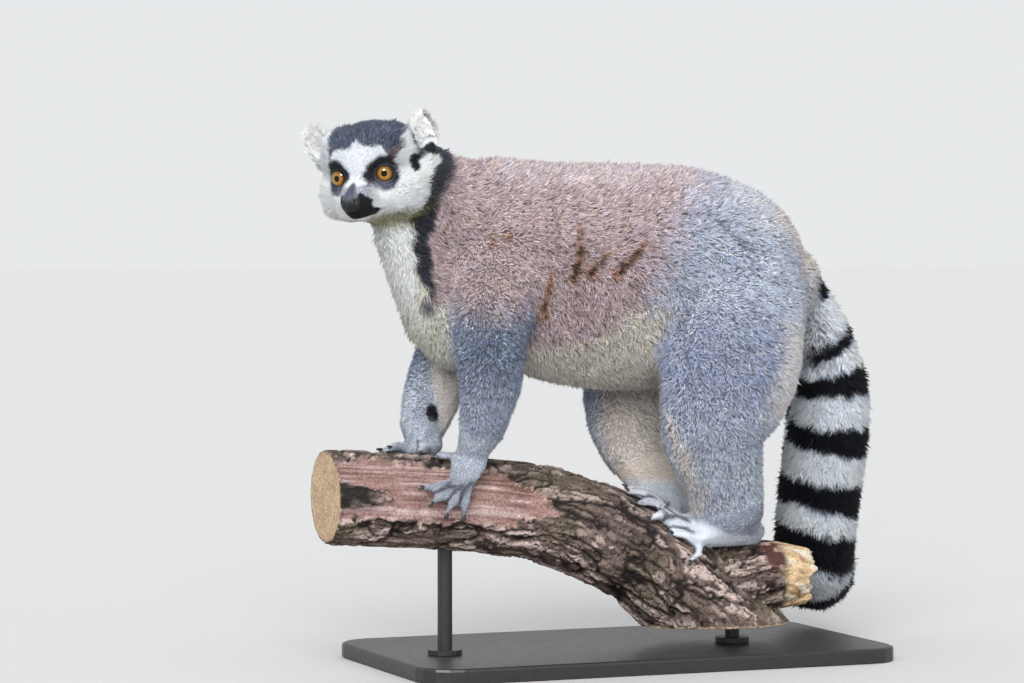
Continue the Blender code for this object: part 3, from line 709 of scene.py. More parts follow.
def trunkMarkings(p):
    x, y, z = p.T
    wobble = (noise(p, 16, 5) + 0.5 * noise(p, 6, 15) - 0.75) * 24
    # painted light and shade: the flank darker low down, the top of the back lighter and bluer as lit from
    # above
    colour = mixed(tones["brown"], tones["shadedLowBrown"], smoothStep(360, 310, z))
    colour = mixed(colour, tones["litTopBrown"], smoothStep(385, 403, z))
    # painted shade low on the shoulder
    shoulder = smoothStep(-95, -125, x) * smoothStep(352, 330, z)
    colour = mixed(colour, tones["shoulder"], 0.75 * shoulder)
    rear = smoothStep(-34, 26, x - curveAt(z, trunk["greyEdge"]) + wobble)
    colour = mixed(colour, tones["blueGrey"], rear)
    colour = mixed(colour, tones["rump"], smoothStep(50, 110, x) * smoothStep(330, 380, z))
    tan = smoothStep(106, 128, x) * smoothStep(52, 20, np.abs(y)) * smoothStep(290, 330, z)
    colour = mixed(colour, tones["tan"], 0.8 * tan * smoothStep(385, 365, z))
    colour = mixed(colour, tailMarkings(p), smoothStep(148, 158, x) * smoothStep(332, 322, z))
    breast = smoothStep(-146, -156, x + wobble * 0.3) * smoothStep(312, 296, z + wobble * 0.3)
    colour = mixed(colour, tones["throat"], breast)
    belly = smoothStep(9, -9, z - curveAt(x, trunk["bellyEdge"]) + wobble * 0.5)
    return mixed(colour, tones["cream"], belly)


def neckMarkings(p, h):
    x, _, z = p.T
    wobble = waver(p, 6, 6, 7)
    dark = smoothStep(2.5, -2.5, x - curveAt(z, collar["brownEdge"]) + wobble)
    colour = mixed(tones["brown"], tones["collar"], dark)
    ahead = x - curveAt(z, collar["whiteEdge"])
    chest = smoothStep(3, -3, ahead + 0.6 * wobble) * smoothStep(392, 372, z)
    chin = smoothStep(-2, 2, h[:, 0] - curveAt(h[:, 2], face["cheekBack"]) + 0.4 * wobble)
    chin *= smoothStep(-62, -50, h[:, 2])
    chin *= np.maximum(smoothStep(368, 378, z), smoothStep(8, 0, ahead))
    white = np.maximum(chest, chin)
    colour = mixed(colour, tones["throat"], white)
    colour = mixed(colour, tones["white"], 0.85 * white * smoothStep(-180, -196, x + wobble))
    shade = smoothStep(352, 372, z + wobble) * smoothStep(-203, -194, x + wobble * 0.5)
    return mixed(colour, tones["shade"], 0.9 * shade * white)


def glandShare(p, radius):  # the bare gland of the near shoulder
    far = np.linalg.norm((p - (-178.5, -40, 297)) * (1, 0.4, 0.75), axis=1)
    return smoothStep(radius + 1.5, radius - 1.5, far) * (p[:, 1] < -15)


def armMarkings(p, sign):
    x, y, z = p.T
    wobble = waver(p, 8, 7, 16)
    colour = mixed(tones["brown"], tones["armGrey"], smoothStep(318, 272, z + wobble))
    colour = mixed(colour, tones["blueGrey"], 0.7 * smoothStep(266, 200, z))
    inner = smoothStep(-2, 12, (y + 40 * sign) * sign) * smoothStep(300, 270, z)
    colour = mixed(colour, tones["pale"], 0.75 * inner * smoothStep(10, -10, x + 140))
    if sign < 0:
        creamSide = smoothStep(-158, -148, x + wobble * 0.4) * smoothStep(45, 30, y)
        colour = mixed(colour, tones["farArm"], 0.9 * creamSide)
        far = np.linalg.norm((p - (-157, 15, 210)) * (1, 0.7, 0.6), axis=1)
        colour = mixed(colour, tones["ringBlack"], smoothStep(6.5, 4, far + wobble * 0.1))
    return colour


def handMarkings(p):
    z = p[:, 2]
    colour = mixed(tones["pale"], tones["digit"], smoothStep(176, 160, z))
    # painted shade between the fingers
    return mixed(colour, tones["digitGapShade"], 0.9 * digitGaps(p))


leg = {  # the pale line down the near shank, and x of the thigh's rear edge by its height
    "front": ((2, -52, 222), (9, -62, 202), (20, -64, 180), (33, -60, 158), (47, -52, 133)),
    "rear": {200: 101, 213: 105, 246: 113, 269: 119, 310: 127},
}


def legMarkings(p, sign):
    x, y, z = p.T
    wobble = waver(p, 9, 8, 10)
    colour = mixed(tones["blueGrey"], tones["lowThigh"], smoothStep(310, 260, z))
    colour = mixed(colour, tones["pale"], 0.8 * smoothStep(240, 160, z))
    if sign > 0:
        front = toPath(p, leg["front"])[0]
        colour = mixed(colour, tones["legFront"], 0.9 * smoothStep(17, 4, front + wobble * 0.5))
    rear = smoothStep(-20, 6, x - curveAt(z, leg["rear"]) + 1.4 * wobble)
    rear = 0.75 * rear * smoothStep(302, 262, z) * smoothStep(196, 214, z)
    colour = mixed(colour, tones["legRear"], rear)
    inner = smoothStep(0, 16, (y + 48 * sign) * sign) * smoothStep(300, 270, z)
    return mixed(colour, tones["legInner"], 0.85 * inner)


def footMarkings(p):
    x, y, z = p.T
    wobble = waver(p, 8, 18, 8)
    near = smoothStep(-20, -40, y)
    ankle = smoothStep(-4, 4, z - 134 + 0.37 * (x - 22) + wobble)
    nearTone = mixed(tones["nearFoot"], tones["nearAnkle"], ankle)
    # the far foot: the near foot's white, painted darker as shade
    farTone = mixed(tones["farFootInShade"], tones["farAnkle"], smoothStep(146, 156, z + wobble))
    # painted shade between the toes
    return mixed(mixed(farTone, nearTone, near), tones["digitGapShade"], 0.85 * digitGaps(p))


ringHeights = (307, 268, 231, 184, 134, 89)  # middles of the black rings where the tail hangs
ringPitch = 44
ringShapes = {  # half width, slant towards the outer side, and how far round the ring reaches
    0: (8, -5, -0.1), 1: (6.5, -6, -1.3), 2: (11.5, 0, -2), 3: (12, 2, -2), 4: (13.5, 4, -2), 5: (14, 8, -2),
}


def ringMiddles():
    lowest = tail.spots[:, 2].argmin() + 1
    middles = [np.interp(-z, -tail.spots[:lowest, 2], tail.along[:lowest]) for z in ringHeights]
    while middles[-1] + ringPitch < tail.along[-1] + 10:
        middles.append(middles[-1] + ringPitch)
    return middles


def tailMarkings(p):
    along, _, out = tail.place(p)
    out = unit(out)
    outer = (out * (1, -0.2, 0.35)).sum(1)  # towards the tail's outer, upper side
    wobble = waver(p, 7, 11, 7)
    colour = mixed(tones["ringWhite"], tones["tailRoot"], smoothStep(46, 26, along))
    droop = 5 * smoothStep(-0.2, 1, (out * -away).sum(1)) * smoothStep(100, 130, along)
    # painted shade on the tail's inner, lower side near the body
    inside = smoothStep(0.6, -0.2, outer) * smoothStep(112, 92, along)
    colour = mixed(colour, tones["tailInnerShade"], 0.65 * inside)
    middles = ringMiddles()
    for k, middle in enumerate(middles):
        half, slant, inner = ringShapes.get(k, (12, 0, -2))
        slide = slant * (outer - 1) if k < 2 else slant * outer
        half = half + 2.5 * np.clip(outer, -0.5, 1) * (k > 1)
        ring = smoothStep(3.5, -3.5, np.abs(along - middle + wobble + droop - slide) - half)
        colour = mixed(colour, tones["ringBlack"], ring * smoothStep(inner, inner + 0.7, outer))
    return mixed(colour, tones["ringBlack"], smoothStep(-14, -4, along - middles[-1]))


def markings(points, shares):  # the colour of the coat at places on the animal, for skin and hair
    p, h = bodyPlace(points), headPlace(points)
    painters = {
        "head": lambda some, sign: headMarkings(h[some]),
        "ear": lambda some, sign: earMarkings(h[some]),
        "neck": lambda some, sign: neckMarkings(p[some], h[some]),
        "trunk": lambda some, sign: trunkMarkings(p[some]),
        "upper_arm": lambda some, sign: armMarkings(p[some], sign),
        "forearm": lambda some, sign: armMarkings(p[some], sign),
        "thigh": lambda some, sign: legMarkings(p[some], sign),
        "shank": lambda some, sign: legMarkings(p[some], sign),
        "hand": lambda some, sign: handMarkings(p[some]),
        "foot": lambda some, sign: footMarkings(p[some]),
        "tail": lambda some, sign: tailMarkings(p[some]),
    }
    colour = byNode(shares, lambda name, some: painters[kindOf(name)](some, signOf(name)))
    colour /= np.maximum(shares.sum(1), 1e-6)[:, None]
    colour = mixed(colour, tones["gland"], 0.85 * glandShare(p, 8))
    colour = mixed(colour, tones["black"], glandShare(p + (0, 0, 1), 5))
    near = partingNearness(p)
    onFlank = smoothStep(20, 0, p[:, 0])
    # painted shade at each slit: a darker edge, warm brown on the flank and grey elsewhere, round a core of
    # dark skin and shade
    slitEdgeShade = mixed(tones["greySlitEdgeShade"], tones["slitEdge"], onFlank)
    colour = mixed(colour, slitEdgeShade, 0.8 * smoothStep(0.1, 0.45, near) * (0.35 + 0.65 * onFlank))
    return mixed(colour, tones["slitSkinAndShade"], 0.92 * smoothStep(0.5, 0.85, near) * (0.45 + 0.55 * onFlank))


def whitenessOf(tone):
    return smoothStep(0.5, 0.85, tone[:, 1])


# The skin under the coat.
skinMake = {
    "swell": 0.8, "voxel": 1.5, "smoothing": 6, "steps": 3, "earDrop": 6, "triangles": 150000,
    # where triangles are divided, twice: reach round the eyes, how far forward and how far to the
    # sides the nose goes, and reach round the mouth
    "detail": ((13.5, 49, 11, 3), (11.0, 56, math.inf, 0)),
}
eyeShape = {"halfWidth": 7.0, "halfHeight": 6.3, "lid": 0.9, "behind": 2.2}
nostril = (61, 4.2, -15.5)
mouthLine = ((59, 0, -22), (52, 8, -23.5), (44, 12.5, -25), (34, 17, -25))


def fusedFlesh():
    bm = bmesh.new()
    for name in fleshNames + ["eye_left", "eye_right"]:
        bm.from_mesh(closedCopy(name, skinMake["swell"] * mm))
    return remeshed(objectOf("skin", meshOf(bm, "skin")), skinMake["voxel"], skinMake["smoothing"])


def sinkToSkin(skin):
    mesh = skin.data
    points, edges = verticesOf(mesh), edgesOf(mesh)
    owner = ownerOf(points)
    kinds = fleshKinds[owner]
    depth = relaxed(recipes[owner, 0], edges, 20) + skinMake["swell"]
    h = headPlace(points)
    depth = np.where(kinds == "head", depth - onFace(h) * (coat["head"][0] - coat["face"][0]), depth)
    drop = smoothStep(18, 50, h[:, 2]) * (kinds == "ear") * skinMake["earDrop"]
    points = points - relaxed(drop, edges, 3)[:, None] * mm * headRows[:, 2]
    for _ in range(skinMake["steps"]):
        lie = unit(relaxed(normalsOf(mesh), edges, 5))
        points = points - lie * (depth / skinMake["steps"] * mm)[:, None]
        points = relaxed(points, edges, 1, 0.3)
        moveTo(mesh, points)
    fine = np.isin(kinds, ("head", "ear", "hand", "foot"))
    keep = relaxed(fine.astype(float), edges, 6)
    group = skin.vertex_groups.new(name="thin")
    for k in range(11):
        chosen = np.flatnonzero(np.round((1 - keep) * 10) == k).tolist()
        if chosen:
            group.add(chosen, k / 10, "REPLACE")
    thin = skin.modifiers.new("thin", "DECIMATE")
    thin.ratio = skinMake["triangles"] / len(trianglesOf(mesh))
    thin.vertex_group = "thin"
    thin.vertex_group_factor = 10
    applied(skin)
    skin.vertex_groups.clear()


def refine(mesh, chosen):  # divides the triangles whose every corner is chosen
    bm = bmesh.new()
    bm.from_mesh(mesh)
    bm.verts.ensure_lookup_table()
    picked = set(np.flatnonzero(chosen).tolist())
    edges = [e for e in bm.edges if e.verts[0].index in picked and e.verts[1].index in picked]
    bmesh.ops.subdivide_edges(bm, edges=edges, cuts=1, use_grid_fill=True, smooth=0.0)
    bmesh.ops.triangulate(bm, faces=bm.faces)
    bm.to_mesh(mesh)
    bm.free()


def nearEye(h, sign):  # place round an eye: distance out from its centre, and lid measure
    centre = np.array((eyeForward, headPose["eye"][1] * sign, eyeUp))
    spread = math.radians(headPose["eyeSpread"])
    gaze = np.array((math.cos(spread), math.sin(spread) * sign, 0))
    across = np.array((-math.sin(spread) * sign, math.cos(spread), 0))
    out = h - centre
    far = np.linalg.norm(out, axis=1)
    flat = np.hypot(out @ across / eyeShape["halfWidth"], out[:, 2] / eyeShape["halfHeight"])
    return out, far, np.where(out @ gaze > 0, flat, 9.0)


def folded(h):  # both sides of the head laid on its left one
    return np.stack([h[:, 0], np.abs(h[:, 1]), h[:, 2]], axis=1)


def sculptFace(h, normals):
    radius = headPose["eyeRadius"]
    for sign in (1, -1):
        out, far, ring = nearEye(h, sign)
        close = far < radius + 7
        lid = np.maximum(far, radius + eyeShape["lid"])
        target = far + (lid - far) * smoothStep(1.55, 1.12, ring) * close
        target = np.where(close, np.minimum(target, np.where(ring < 1.25, radius + 1.6, 99)), target)
        hole = smoothStep(1.04, 0.97, ring) * close
        target += (radius - eyeShape["behind"] - target) * hole
        h = h + out * ((target - far) / np.maximum(far, 1e-6))[:, None]
    side = folded(h)
    fromNostril = np.linalg.norm(side - nostril, axis=1)
    x, y, z = nostril
    fromWing = np.linalg.norm(side - (x - 2.6, y + 1.9, z + 0.9), axis=1)  # the slit at the nostril's side
    dip = 2.0 * np.exp(-(fromNostril / 1.5) ** 2)
    dip += 1.3 * np.exp(-(fromWing / 1.3) ** 2)
    dip -= 0.7 * np.exp(-((fromNostril - 3.0) / 1.0) ** 2)
    below = smoothStep(-15.5, -17, h[:, 2]) * smoothStep(54, 57, h[:, 0])
    dip += 0.7 * np.exp(-(side[:, 1] / 0.7) ** 2) * below  # the groove down the nose
    dip = np.where(h[:, 0] > 48, dip, 0)
    dip += 0.9 * np.exp(-(toPath(side, mouthLine)[0] / 0.8) ** 2)
    return h - normals * dip[:, None]


def makeSkin():
    skin = fusedFlesh()
    print("the flesh is fused:", len(skin.data.polygons), "faces")
    sinkToSkin(skin)
    mesh = skin.data
    for reach, nose, half, mouth in skinMake["detail"]:
        h = headPlace(verticesOf(mesh))
        chosen = (np.abs(h[:, 1]) < half) & (h[:, 0] > nose)
        chosen |= toPath(folded(h), mouthLine)[0] < mouth
        for sign in (1, -1):
            _, far, ring = nearEye(h, sign)
            chosen |= (far < reach) & (ring < 2)
        refine(mesh, chosen)
    h = headPlace(verticesOf(mesh))
    inHead = (h[:, 0] > -60) & (np.linalg.norm(h, axis=1) < 90)
    sculpted = sculptFace(h, normalsOf(mesh) @ headRows)
    h = np.where(inHead[:, None], sculpted, h)
    moveTo(mesh, h @ headRows.T * mm + headOriginRow)
    return skin


skin = makeSkin()
print("the skin is shaped:", len(trianglesOf(skin.data)), "triangles")


def bareness(h, shares):  # bare skin: nose pad, lids and the inside of the mouth line
    forward, side, up = h[:, 0], np.abs(h[:, 1]), h[:, 2]
    bare = smoothStep(56.5, 58.5, forward) * smoothStep(-25, -22.5, up)
    bare = np.maximum(bare, 0.6 * bridgeShare(forward, side, up) * smoothStep(44, 50, forward))
    for sign in (1, -1):
        _, far, ring = nearEye(h, sign)
        bare = np.maximum(bare, smoothStep(1.28, 1.16, ring) * (far < 13))
    return bare * (shareOf(shares, "head") > 0.3)


def skinFinish():
    finish = Finish("skin", Roughness=0.8, Specular_IOR_Level=0.3)
    tone, bare = finish.attribute("tone"), finish.attribute("bare", True)
    mottle = finish.noise(420, 4)
    finish.feed(Base_Color=finish.shade(tone, mottle * 0.5 + 0.7))
    finish.feed(Roughness=0.85 - bare * 0.3 + mottle * 0.1)
    grain = finish.noise(1500, 3) * (bare * 0.6 + 0.4) + finish.noise(300, 3)
    finish.bump(grain, 0.35, 0.0008)
    return finish.material


skinPoints, skinEdges, skinNormals = verticesOf(skin.data), edgesOf(skin.data), normalsOf(skin.data)
skinTriangles = trianglesOf(skin.data)
skinShares = nodeShares(skinPoints, skinEdges, 10)
skinHead = headPlace(skinPoints)
skinBare = bareness(skinHead, skinShares)
skinTones = markings(skinPoints, skinShares)
under = 0.55 + 0.45 * np.maximum(skinBare, whitenessOf(skinTones))
setAttribute(skin.data, "tone", skinTones * under[:, None])
setAttribute(skin.data, "bare", skinBare)
skin.data.shade_smooth()
skin.data.materials.append(skinFinish())
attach(skin, "root")
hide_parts(*fleshNames)
print("the skin is painted")


# The eyes.
eyeMake = {"segments": 72, "rings": 60, "iris": 6.35, "dome": 1.5, "cornea": 7.8}
eyeTones = {
    "amber": (
        # place from the middle outwards, colour
        (0.25, (0.38, 0.19, 0.038)), (0.5, (0.46, 0.24, 0.042)), (0.68, (0.22, 0.10, 0.018)),
        (0.85, (0.08, 0.035, 0.01)),
    ),
    "rim": (0.012, 0.008, 0.006, 1), "pupil": (0.004, 0.004, 0.005, 1),
}


def eyeFinish():
    finish = Finish("amber_eye", Specular_IOR_Level=0.0, Coat_Weight=1.0, Coat_Roughness=0.02, Coat_IOR=1.34)
    local = finish.node("Attribute", {"attribute_name": "eyeLocal"}, output=1)
    flat = finish.node("VectorMath", {"operation": "MULTIPLY"}, {0: local, 1: (1, 1, 0)})
    radius = finish.node("VectorMath", {"operation": "LENGTH"}, {0: flat}, output=1)
    spoke = finish.node("VectorMath", {"operation": "NORMALIZE"}, {0: flat})
    spoke = finish.node("VectorMath", {"operation": "MULTIPLY_ADD"}, {0: spoke, 1: (9, 9, 9), 2: flat})
    fibre = finish.noise(2.2, 5, spoke)
    amber = finish.ramp(fibre * 0.6 + radius * 0.6, eyeTones["amber"])
    limbus = finish.ramp(radius, ((0.0, (0, 0, 0)), (0.64, (0, 0, 0)), (0.73, (1, 1, 1)), (1.0, (1, 1, 1))))
    pupil = finish.ramp(radius, ((0.0, (1, 1, 1)), (0.275, (1, 1, 1)), (0.315, (0, 0, 0)), (1.0, (0, 0, 0))))
    colour = finish.blend(amber, eyeTones["rim"], limbus)
    upward = finish.node("SeparateXYZ", {}, {0: local}, output=1)
    colour = finish.shade(colour, upward * -0.45 + 0.92)  # painted shadow of the upper lid: the iris is darker towards its top
    finish.feed(Base_Color=finish.blend(colour, eyeTones["pupil"], pupil))
    finish.feed(Roughness=fibre * 0.08 + 0.08)
    return finish.material


def makeEye(word, finish):
    sign = signOf(word)
    spread = math.radians(headPose["eyeSpread"])
    gaze = headAxes @ Vector((math.cos(spread), math.sin(spread) * sign, 0))
    bm = bmesh.new()
    bmesh.ops.create_uvsphere(bm, u_segments=eyeMake["segments"], v_segments=eyeMake["rings"], radius=1)
    local = np.array([v.co for v in bm.verts])
    radius, iris, cornea = headPose["eyeRadius"], eyeMake["iris"], eyeMake["cornea"]
    edge = math.sqrt(radius ** 2 - iris ** 2)
    shine = local.copy()  # the clear cornea's own normals, over a flatter iris
    for k, vert in enumerate(bm.verts):
        spot = vert.co * radius
        flat = math.hypot(spot.x, spot.y)
        if spot.z > edge:
            spot.z = edge + eyeMake["dome"] * (1 - (flat / iris) ** 2)
            shine[k] = (spot.x, spot.y, math.sqrt(cornea ** 2 - flat ** 2))
        vert.co = spot * mm
    turn = gaze.to_track_quat("Z", "Y").to_matrix().to_4x4()
    bmesh.ops.transform(bm, verts=bm.verts, matrix=Matrix.Translation(middleOf("eye_" + word)) @ turn)
    mesh = meshOf(bm, "eyeball_" + word)
    places = mesh.attributes.new("eyeLocal", "FLOAT_VECTOR", "POINT")
    places.data.foreach_set("vector", local.astype(np.float32).ravel())
    mesh.shade_smooth()
    shine = unit(shine) @ np.array(turn.to_3x3()).T
    mesh.normals_split_custom_set_from_vertices(shine.tolist())
    mesh.materials.append(finish)
    ball = objectOf("eyeball_" + word, mesh)
    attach(ball, "root")
    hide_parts("eye_" + word)


amberEye = eyeFinish()
for word in ("left", "right"):
    makeEye(word, amberEye)
print("the eyes are set")


# The coat of tufts.
hair = {
    "clump": 10, "clumpPull": 0.2,  # tufts for each leader, and how far they lean towards it
    "buried": 0.8,  # depth of the roots under the skin, mm
    "turnSpread": 0.8, "liftSpread": 14,  # in radians about the lie, in degrees off the skin
    "light": (0.6, 1.4), "guards": 0.08,  # darkest and lightest tuft; share of longer, thinner ones
    "cell": 0.02,  # roots are spread evenly in cells of this size, metres
}
chance = np.random.default_rng(11)


def lieOfNode(name, p, h):  # which way the hair lies on a node of flesh
    kind, sign = kindOf(name), signOf(name)
    x, _, z = p.T
    if kind == "head":
        lie = h - (58, 0, -10)
        lie[:, 0] *= 1.4
        return unit(lie) @ headRows.T
    if kind == "ear":
        lie = np.tile((0.05, 0.2 * sign, 1.0), (len(p), 1))
        return unit(lie) @ headRows.T
    if kind == "neck":
        chest = smoothStep(6, -6, x - curveAt(z, collar["whiteEdge"]))
        return unit(mixed((0.75, 0, -0.66), (0.1, 0, -1.0), chest))
    if kind == "trunk":
        low = smoothStep(370, 290, z)
        lie = mixed((1.0, 0, -0.15), (0.45, 0, -0.95), low)
        lie = mixed(lie, (0.35, 0, -0.9), smoothStep(70, 110, x))
        under = smoothStep(262, 245, z)
        return unit(mixed(lie, (0.9, 0, -0.3), under))
    if kind == "tail":
        return tail.place(p)[1]
    rows = {
        "upper_arm": (0.22, 0, -1), "forearm": (0.12, 0, -1), "thigh": (0.35, 0, -1), "shank": (0.2, 0, -1),
        "hand": (-0.55, -0.5, -0.65) if sign > 0 else (-0.95, -0.1, -0.2),
        "foot": (-0.95, -0.15, -0.2) if sign > 0 else (-0.95, -0.1, 0.25),
    }
    return unit(np.tile(rows[kind], (len(p), 1)).astype(float))


def lieOfCoat(points, normals, shares):
    p, h = bodyPlace(points), headPlace(points)
    lie = byNode(shares, lambda name, some: lieOfNode(name, p[some], h[some]))
    lie = lie - normals * (lie * normals).sum(1)[:, None]
    return unit(lie)


def coatFields():  # length, width, density and lift at each point of the skin
    fields = skinShares @ recipes[:, 1:]
    fields /= np.maximum(skinShares.sum(1), 1e-6)[:, None]
    p, h = bodyPlace(skinPoints), skinHead
    forward, side, up = h[:, 0], np.abs(h[:, 1]), h[:, 2]
    onHead = shareOf(skinShares, "head")
    fields = mixed(fields, coat["face"][1:], onFace(h) * onHead)
    length, density, lift = fields[:, 0], fields[:, 2], fields[:, 3]  # what changes these changes fields
    ruff = smoothStep(18, 6, forward) * smoothStep(8, -8, up)
    ruff = np.maximum(ruff, smoothStep(24, 32, side) * smoothStep(22, 10, up))
    ruff *= smoothStep(12, 24, side) * smoothStep(-36, -26, up) * onHead
    length *= 1 + 0.7 * ruff
    crownEdge = smoothStep(12, 22, side) * smoothStep(20, 28, up) * onHead
    length *= 1 + 0.6 * crownEdge
    along = tail.place(p)[0]
    length *= 1 - 0.45 * smoothStep(tail.along[-1] - 40, tail.along[-1], along) * shareOf(skinShares, "tail")
    chest = smoothStep(6, -6, p[:, 0] - curveAt(p[:, 2], collar["whiteEdge"]))
    lift *= 1 - 0.6 * (shareOf(skinShares, "neck") * chest)
    toes = np.where(p[:, 0] < -60, smoothStep(172, 158, p[:, 2]), smoothStep(72, 60, p[:, 0]))
    length *= 1 - 0.4 * toes * shareOf(skinShares, "hand", "foot")
    length *= 1 - 0.35 * (smoothStep(36, 48, forward) * onHead)
    density *= np.where(skinBare > 0.5, 0, 1)
    length *= 1 - 0.6 * np.maximum(partingNearness(p), glandShare(p, 6))
    nearEar = np.maximum(shareOf(skinShares, "ear"), onHead * (h[:, 1] > 28))
    length *= 1 - 0.82 * openingShare(h, 8) * nearEar
    jaw = smoothStep(-22, -30, up) * smoothStep(2, -10, h[:, 1]) * onHead
    length *= 1 - 0.4 * jaw
    lift *= 1 - 0.45 * jaw
    for sign in (1, -1):
        length *= 1 - 0.4 * smoothStep(2.0, 1.3, nearEye(h, sign)[2]) * onHead
    return fields


def scatter(fields):  # roots over the skin, by area and density
    a, b, c = (skinPoints[skinTriangles[:, k]] for k in range(3))
    area = np.linalg.norm(np.cross(b - a, c - a), axis=1) / 2 / mm ** 2
    density = fields[skinTriangles, 2].min(axis=1)
    order = np.lexsort(np.floor(((a + b + c) / 3 / hair["cell"])).T)
    wanted = np.cumsum((area * density)[order])
    count = int(wanted[-1])
    picks = (np.arange(count) + chance.random(count)) / count * wanted[-1]
    chosen = order[np.minimum(np.searchsorted(wanted, picks), len(order) - 1)]
    u, v = chance.random(count), chance.random(count)
    flip = u + v > 1
    u[flip], v[flip] = 1 - u[flip], 1 - v[flip]
    weights = np.stack([1 - u - v, u, v], axis=1)
    return skinTriangles[chosen], weights


def spread(rows, corners, weights):
    return (rows[corners] * weights[..., None]).sum(1) if rows.ndim > 1 else (rows[corners] * weights).sum(1)


def regionOf(shares, p, h):  # which coat piece each tuft is joined to
    kinds = fleshKinds[shares.argmax(1)]
    left = p[:, 1] < 0
    region = np.full(len(p), "trunk_left", dtype=object)
    region[(kinds == "trunk") & ~left] = "trunk_right"
    region[(kinds == "trunk") & (p[:, 2] > 372)] = "back"
    words = {"neck": "neck", "head": "crown", "ear": "ears", "hand": "hands", "foot": "feet"}
    for kind, word in words.items():
        region[kinds == kind] = word
    region[(kinds == "head") & (h[:, 0] > 14)] = "face"
    for kind, word in (("upper_arm", "arm"), ("forearm", "arm"), ("thigh", "leg"), ("shank", "leg")):
        region[(kinds == kind) & left] = word + "_left"
        region[(kinds == kind) & ~left] = word + "_right"
    upper = tail.place(p[kinds == "tail"])[0] < tail.along[-1] / 2
    region[kinds == "tail"] = np.where(upper, "tail_upper", "tail_lower")
    return region


def tuftPatches(name, roots):  # a tuft's place on the unwrapped skin of its own piece
    p = bodyPlace(roots)
    if name.startswith("tail"):
        along, _, out = tail.place(p)
        flat = (np.arctan2(out @ away, out[:, 0] + out[:, 2] * 0.5), along)
    elif name == "face":
        h = headPlace(roots)
        flat = (np.arctan2(h[:, 1], h[:, 2] + 4), h[:, 0])
    elif name.startswith(("crown", "ears", "hands", "feet", "arm", "leg")):
        x, y, z = (p - p.mean(0)).T
        flat = (np.arctan2(y, x), z)
    else:
        flat = (np.arctan2(p[:, 1], p[:, 2] - 320), p[:, 0])
    flat = np.stack(flat, axis=1)
    low, high = flat.min(0), flat.max(0)
    return (flat - low) / (high - low) * 0.985 + 0.005


# A tuft is a closed kite: its corners are root, left, right and tip, and it has four faces.
tuftFaces = np.array([(0, 1, 2), (1, 3, 2), (0, 3, 1), (0, 2, 3)])
tuftMap = np.array([(0.5, 0.0), (0.0, 0.45), (1.0, 0.55), (0.5, 1.0)]) * 0.003
tuftShade = np.array((0.2, 0.82, 0.82, 1.5))


def coatFinish():
    finish = Finish("coat", Roughness=0.78, Specular_IOR_Level=0.14, Sheen_Weight=0.04, Sheen_Roughness=0.5)
    tone = finish.attribute("tone")
    fleck = finish.noise(900, 2)
    finish.feed(Base_Color=finish.shade(tone, fleck * 0.5 + 0.75))
    finish.feed(Roughness=fleck * 0.15 + 0.7)
    finish.bump(finish.noise(2600, 2), 0.2, 0.0003)
    return finish.material


def rising(lie, normal, lift):  # the way a tuft points when it stands off the skin by an angle
    return lie * np.cos(lift)[:, None] + normal * np.sin(lift)[:, None]


def gather(root, length, middle, tip):  # leans tufts together in clumps, towards the nearest leader
    seeds = np.arange(0, len(root), hair["clump"])
    tree = KDTree(len(seeds))
    for k, spot in zip(seeds.tolist(), root[seeds].tolist()):
        tree.insert(spot, k)
    tree.balance()
    leader = np.array([tree.find(spot)[1] for spot in root.tolist()])
    near = np.linalg.norm(root[leader] - root, axis=1) < length * 0.8
    pull = hair["clumpPull"] * near * (0.6 + 0.8 * chance.random(len(root)))
    tip += (tip[leader] - tip) * pull[:, None]
    middle += (middle[leader] - middle) * (pull * 0.4)[:, None]


def tuftTones(root, tip, shares):
    count = len(root)
    tone = markings(root + (tip - root) * 0.6, shares)
    low, high = hair["light"]
    light = low + (high - low) * chance.random(count)
    grain = np.exp(chance.normal(0, 0.42, count))
    salt = smoothStep(0.40, 0.12, tone[:, 1]) * smoothStep(0.03, 0.08, tone[:, 1])
    light *= 1 + (grain - 1) * (0.35 + 0.65 * salt)  # grizzled where the coat is dark grey
    light *= (0.8 + 0.4 * noise(bodyPlace(root), 3.2, 31)) * (0.88 + 0.24 * noise(bodyPlace(root), 17, 32))
    whiteness = whitenessOf(tone)
    light += (1 - light) * 0.7 * whiteness
    warmth = (chance.random(count) - 0.5) * (1 - 0.7 * whiteness)
    warmth = 1 + warmth[:, None] * (0.22, 0.0, -0.36)
    return np.clip(tone * light[:, None] * warmth, 0, 0.97)


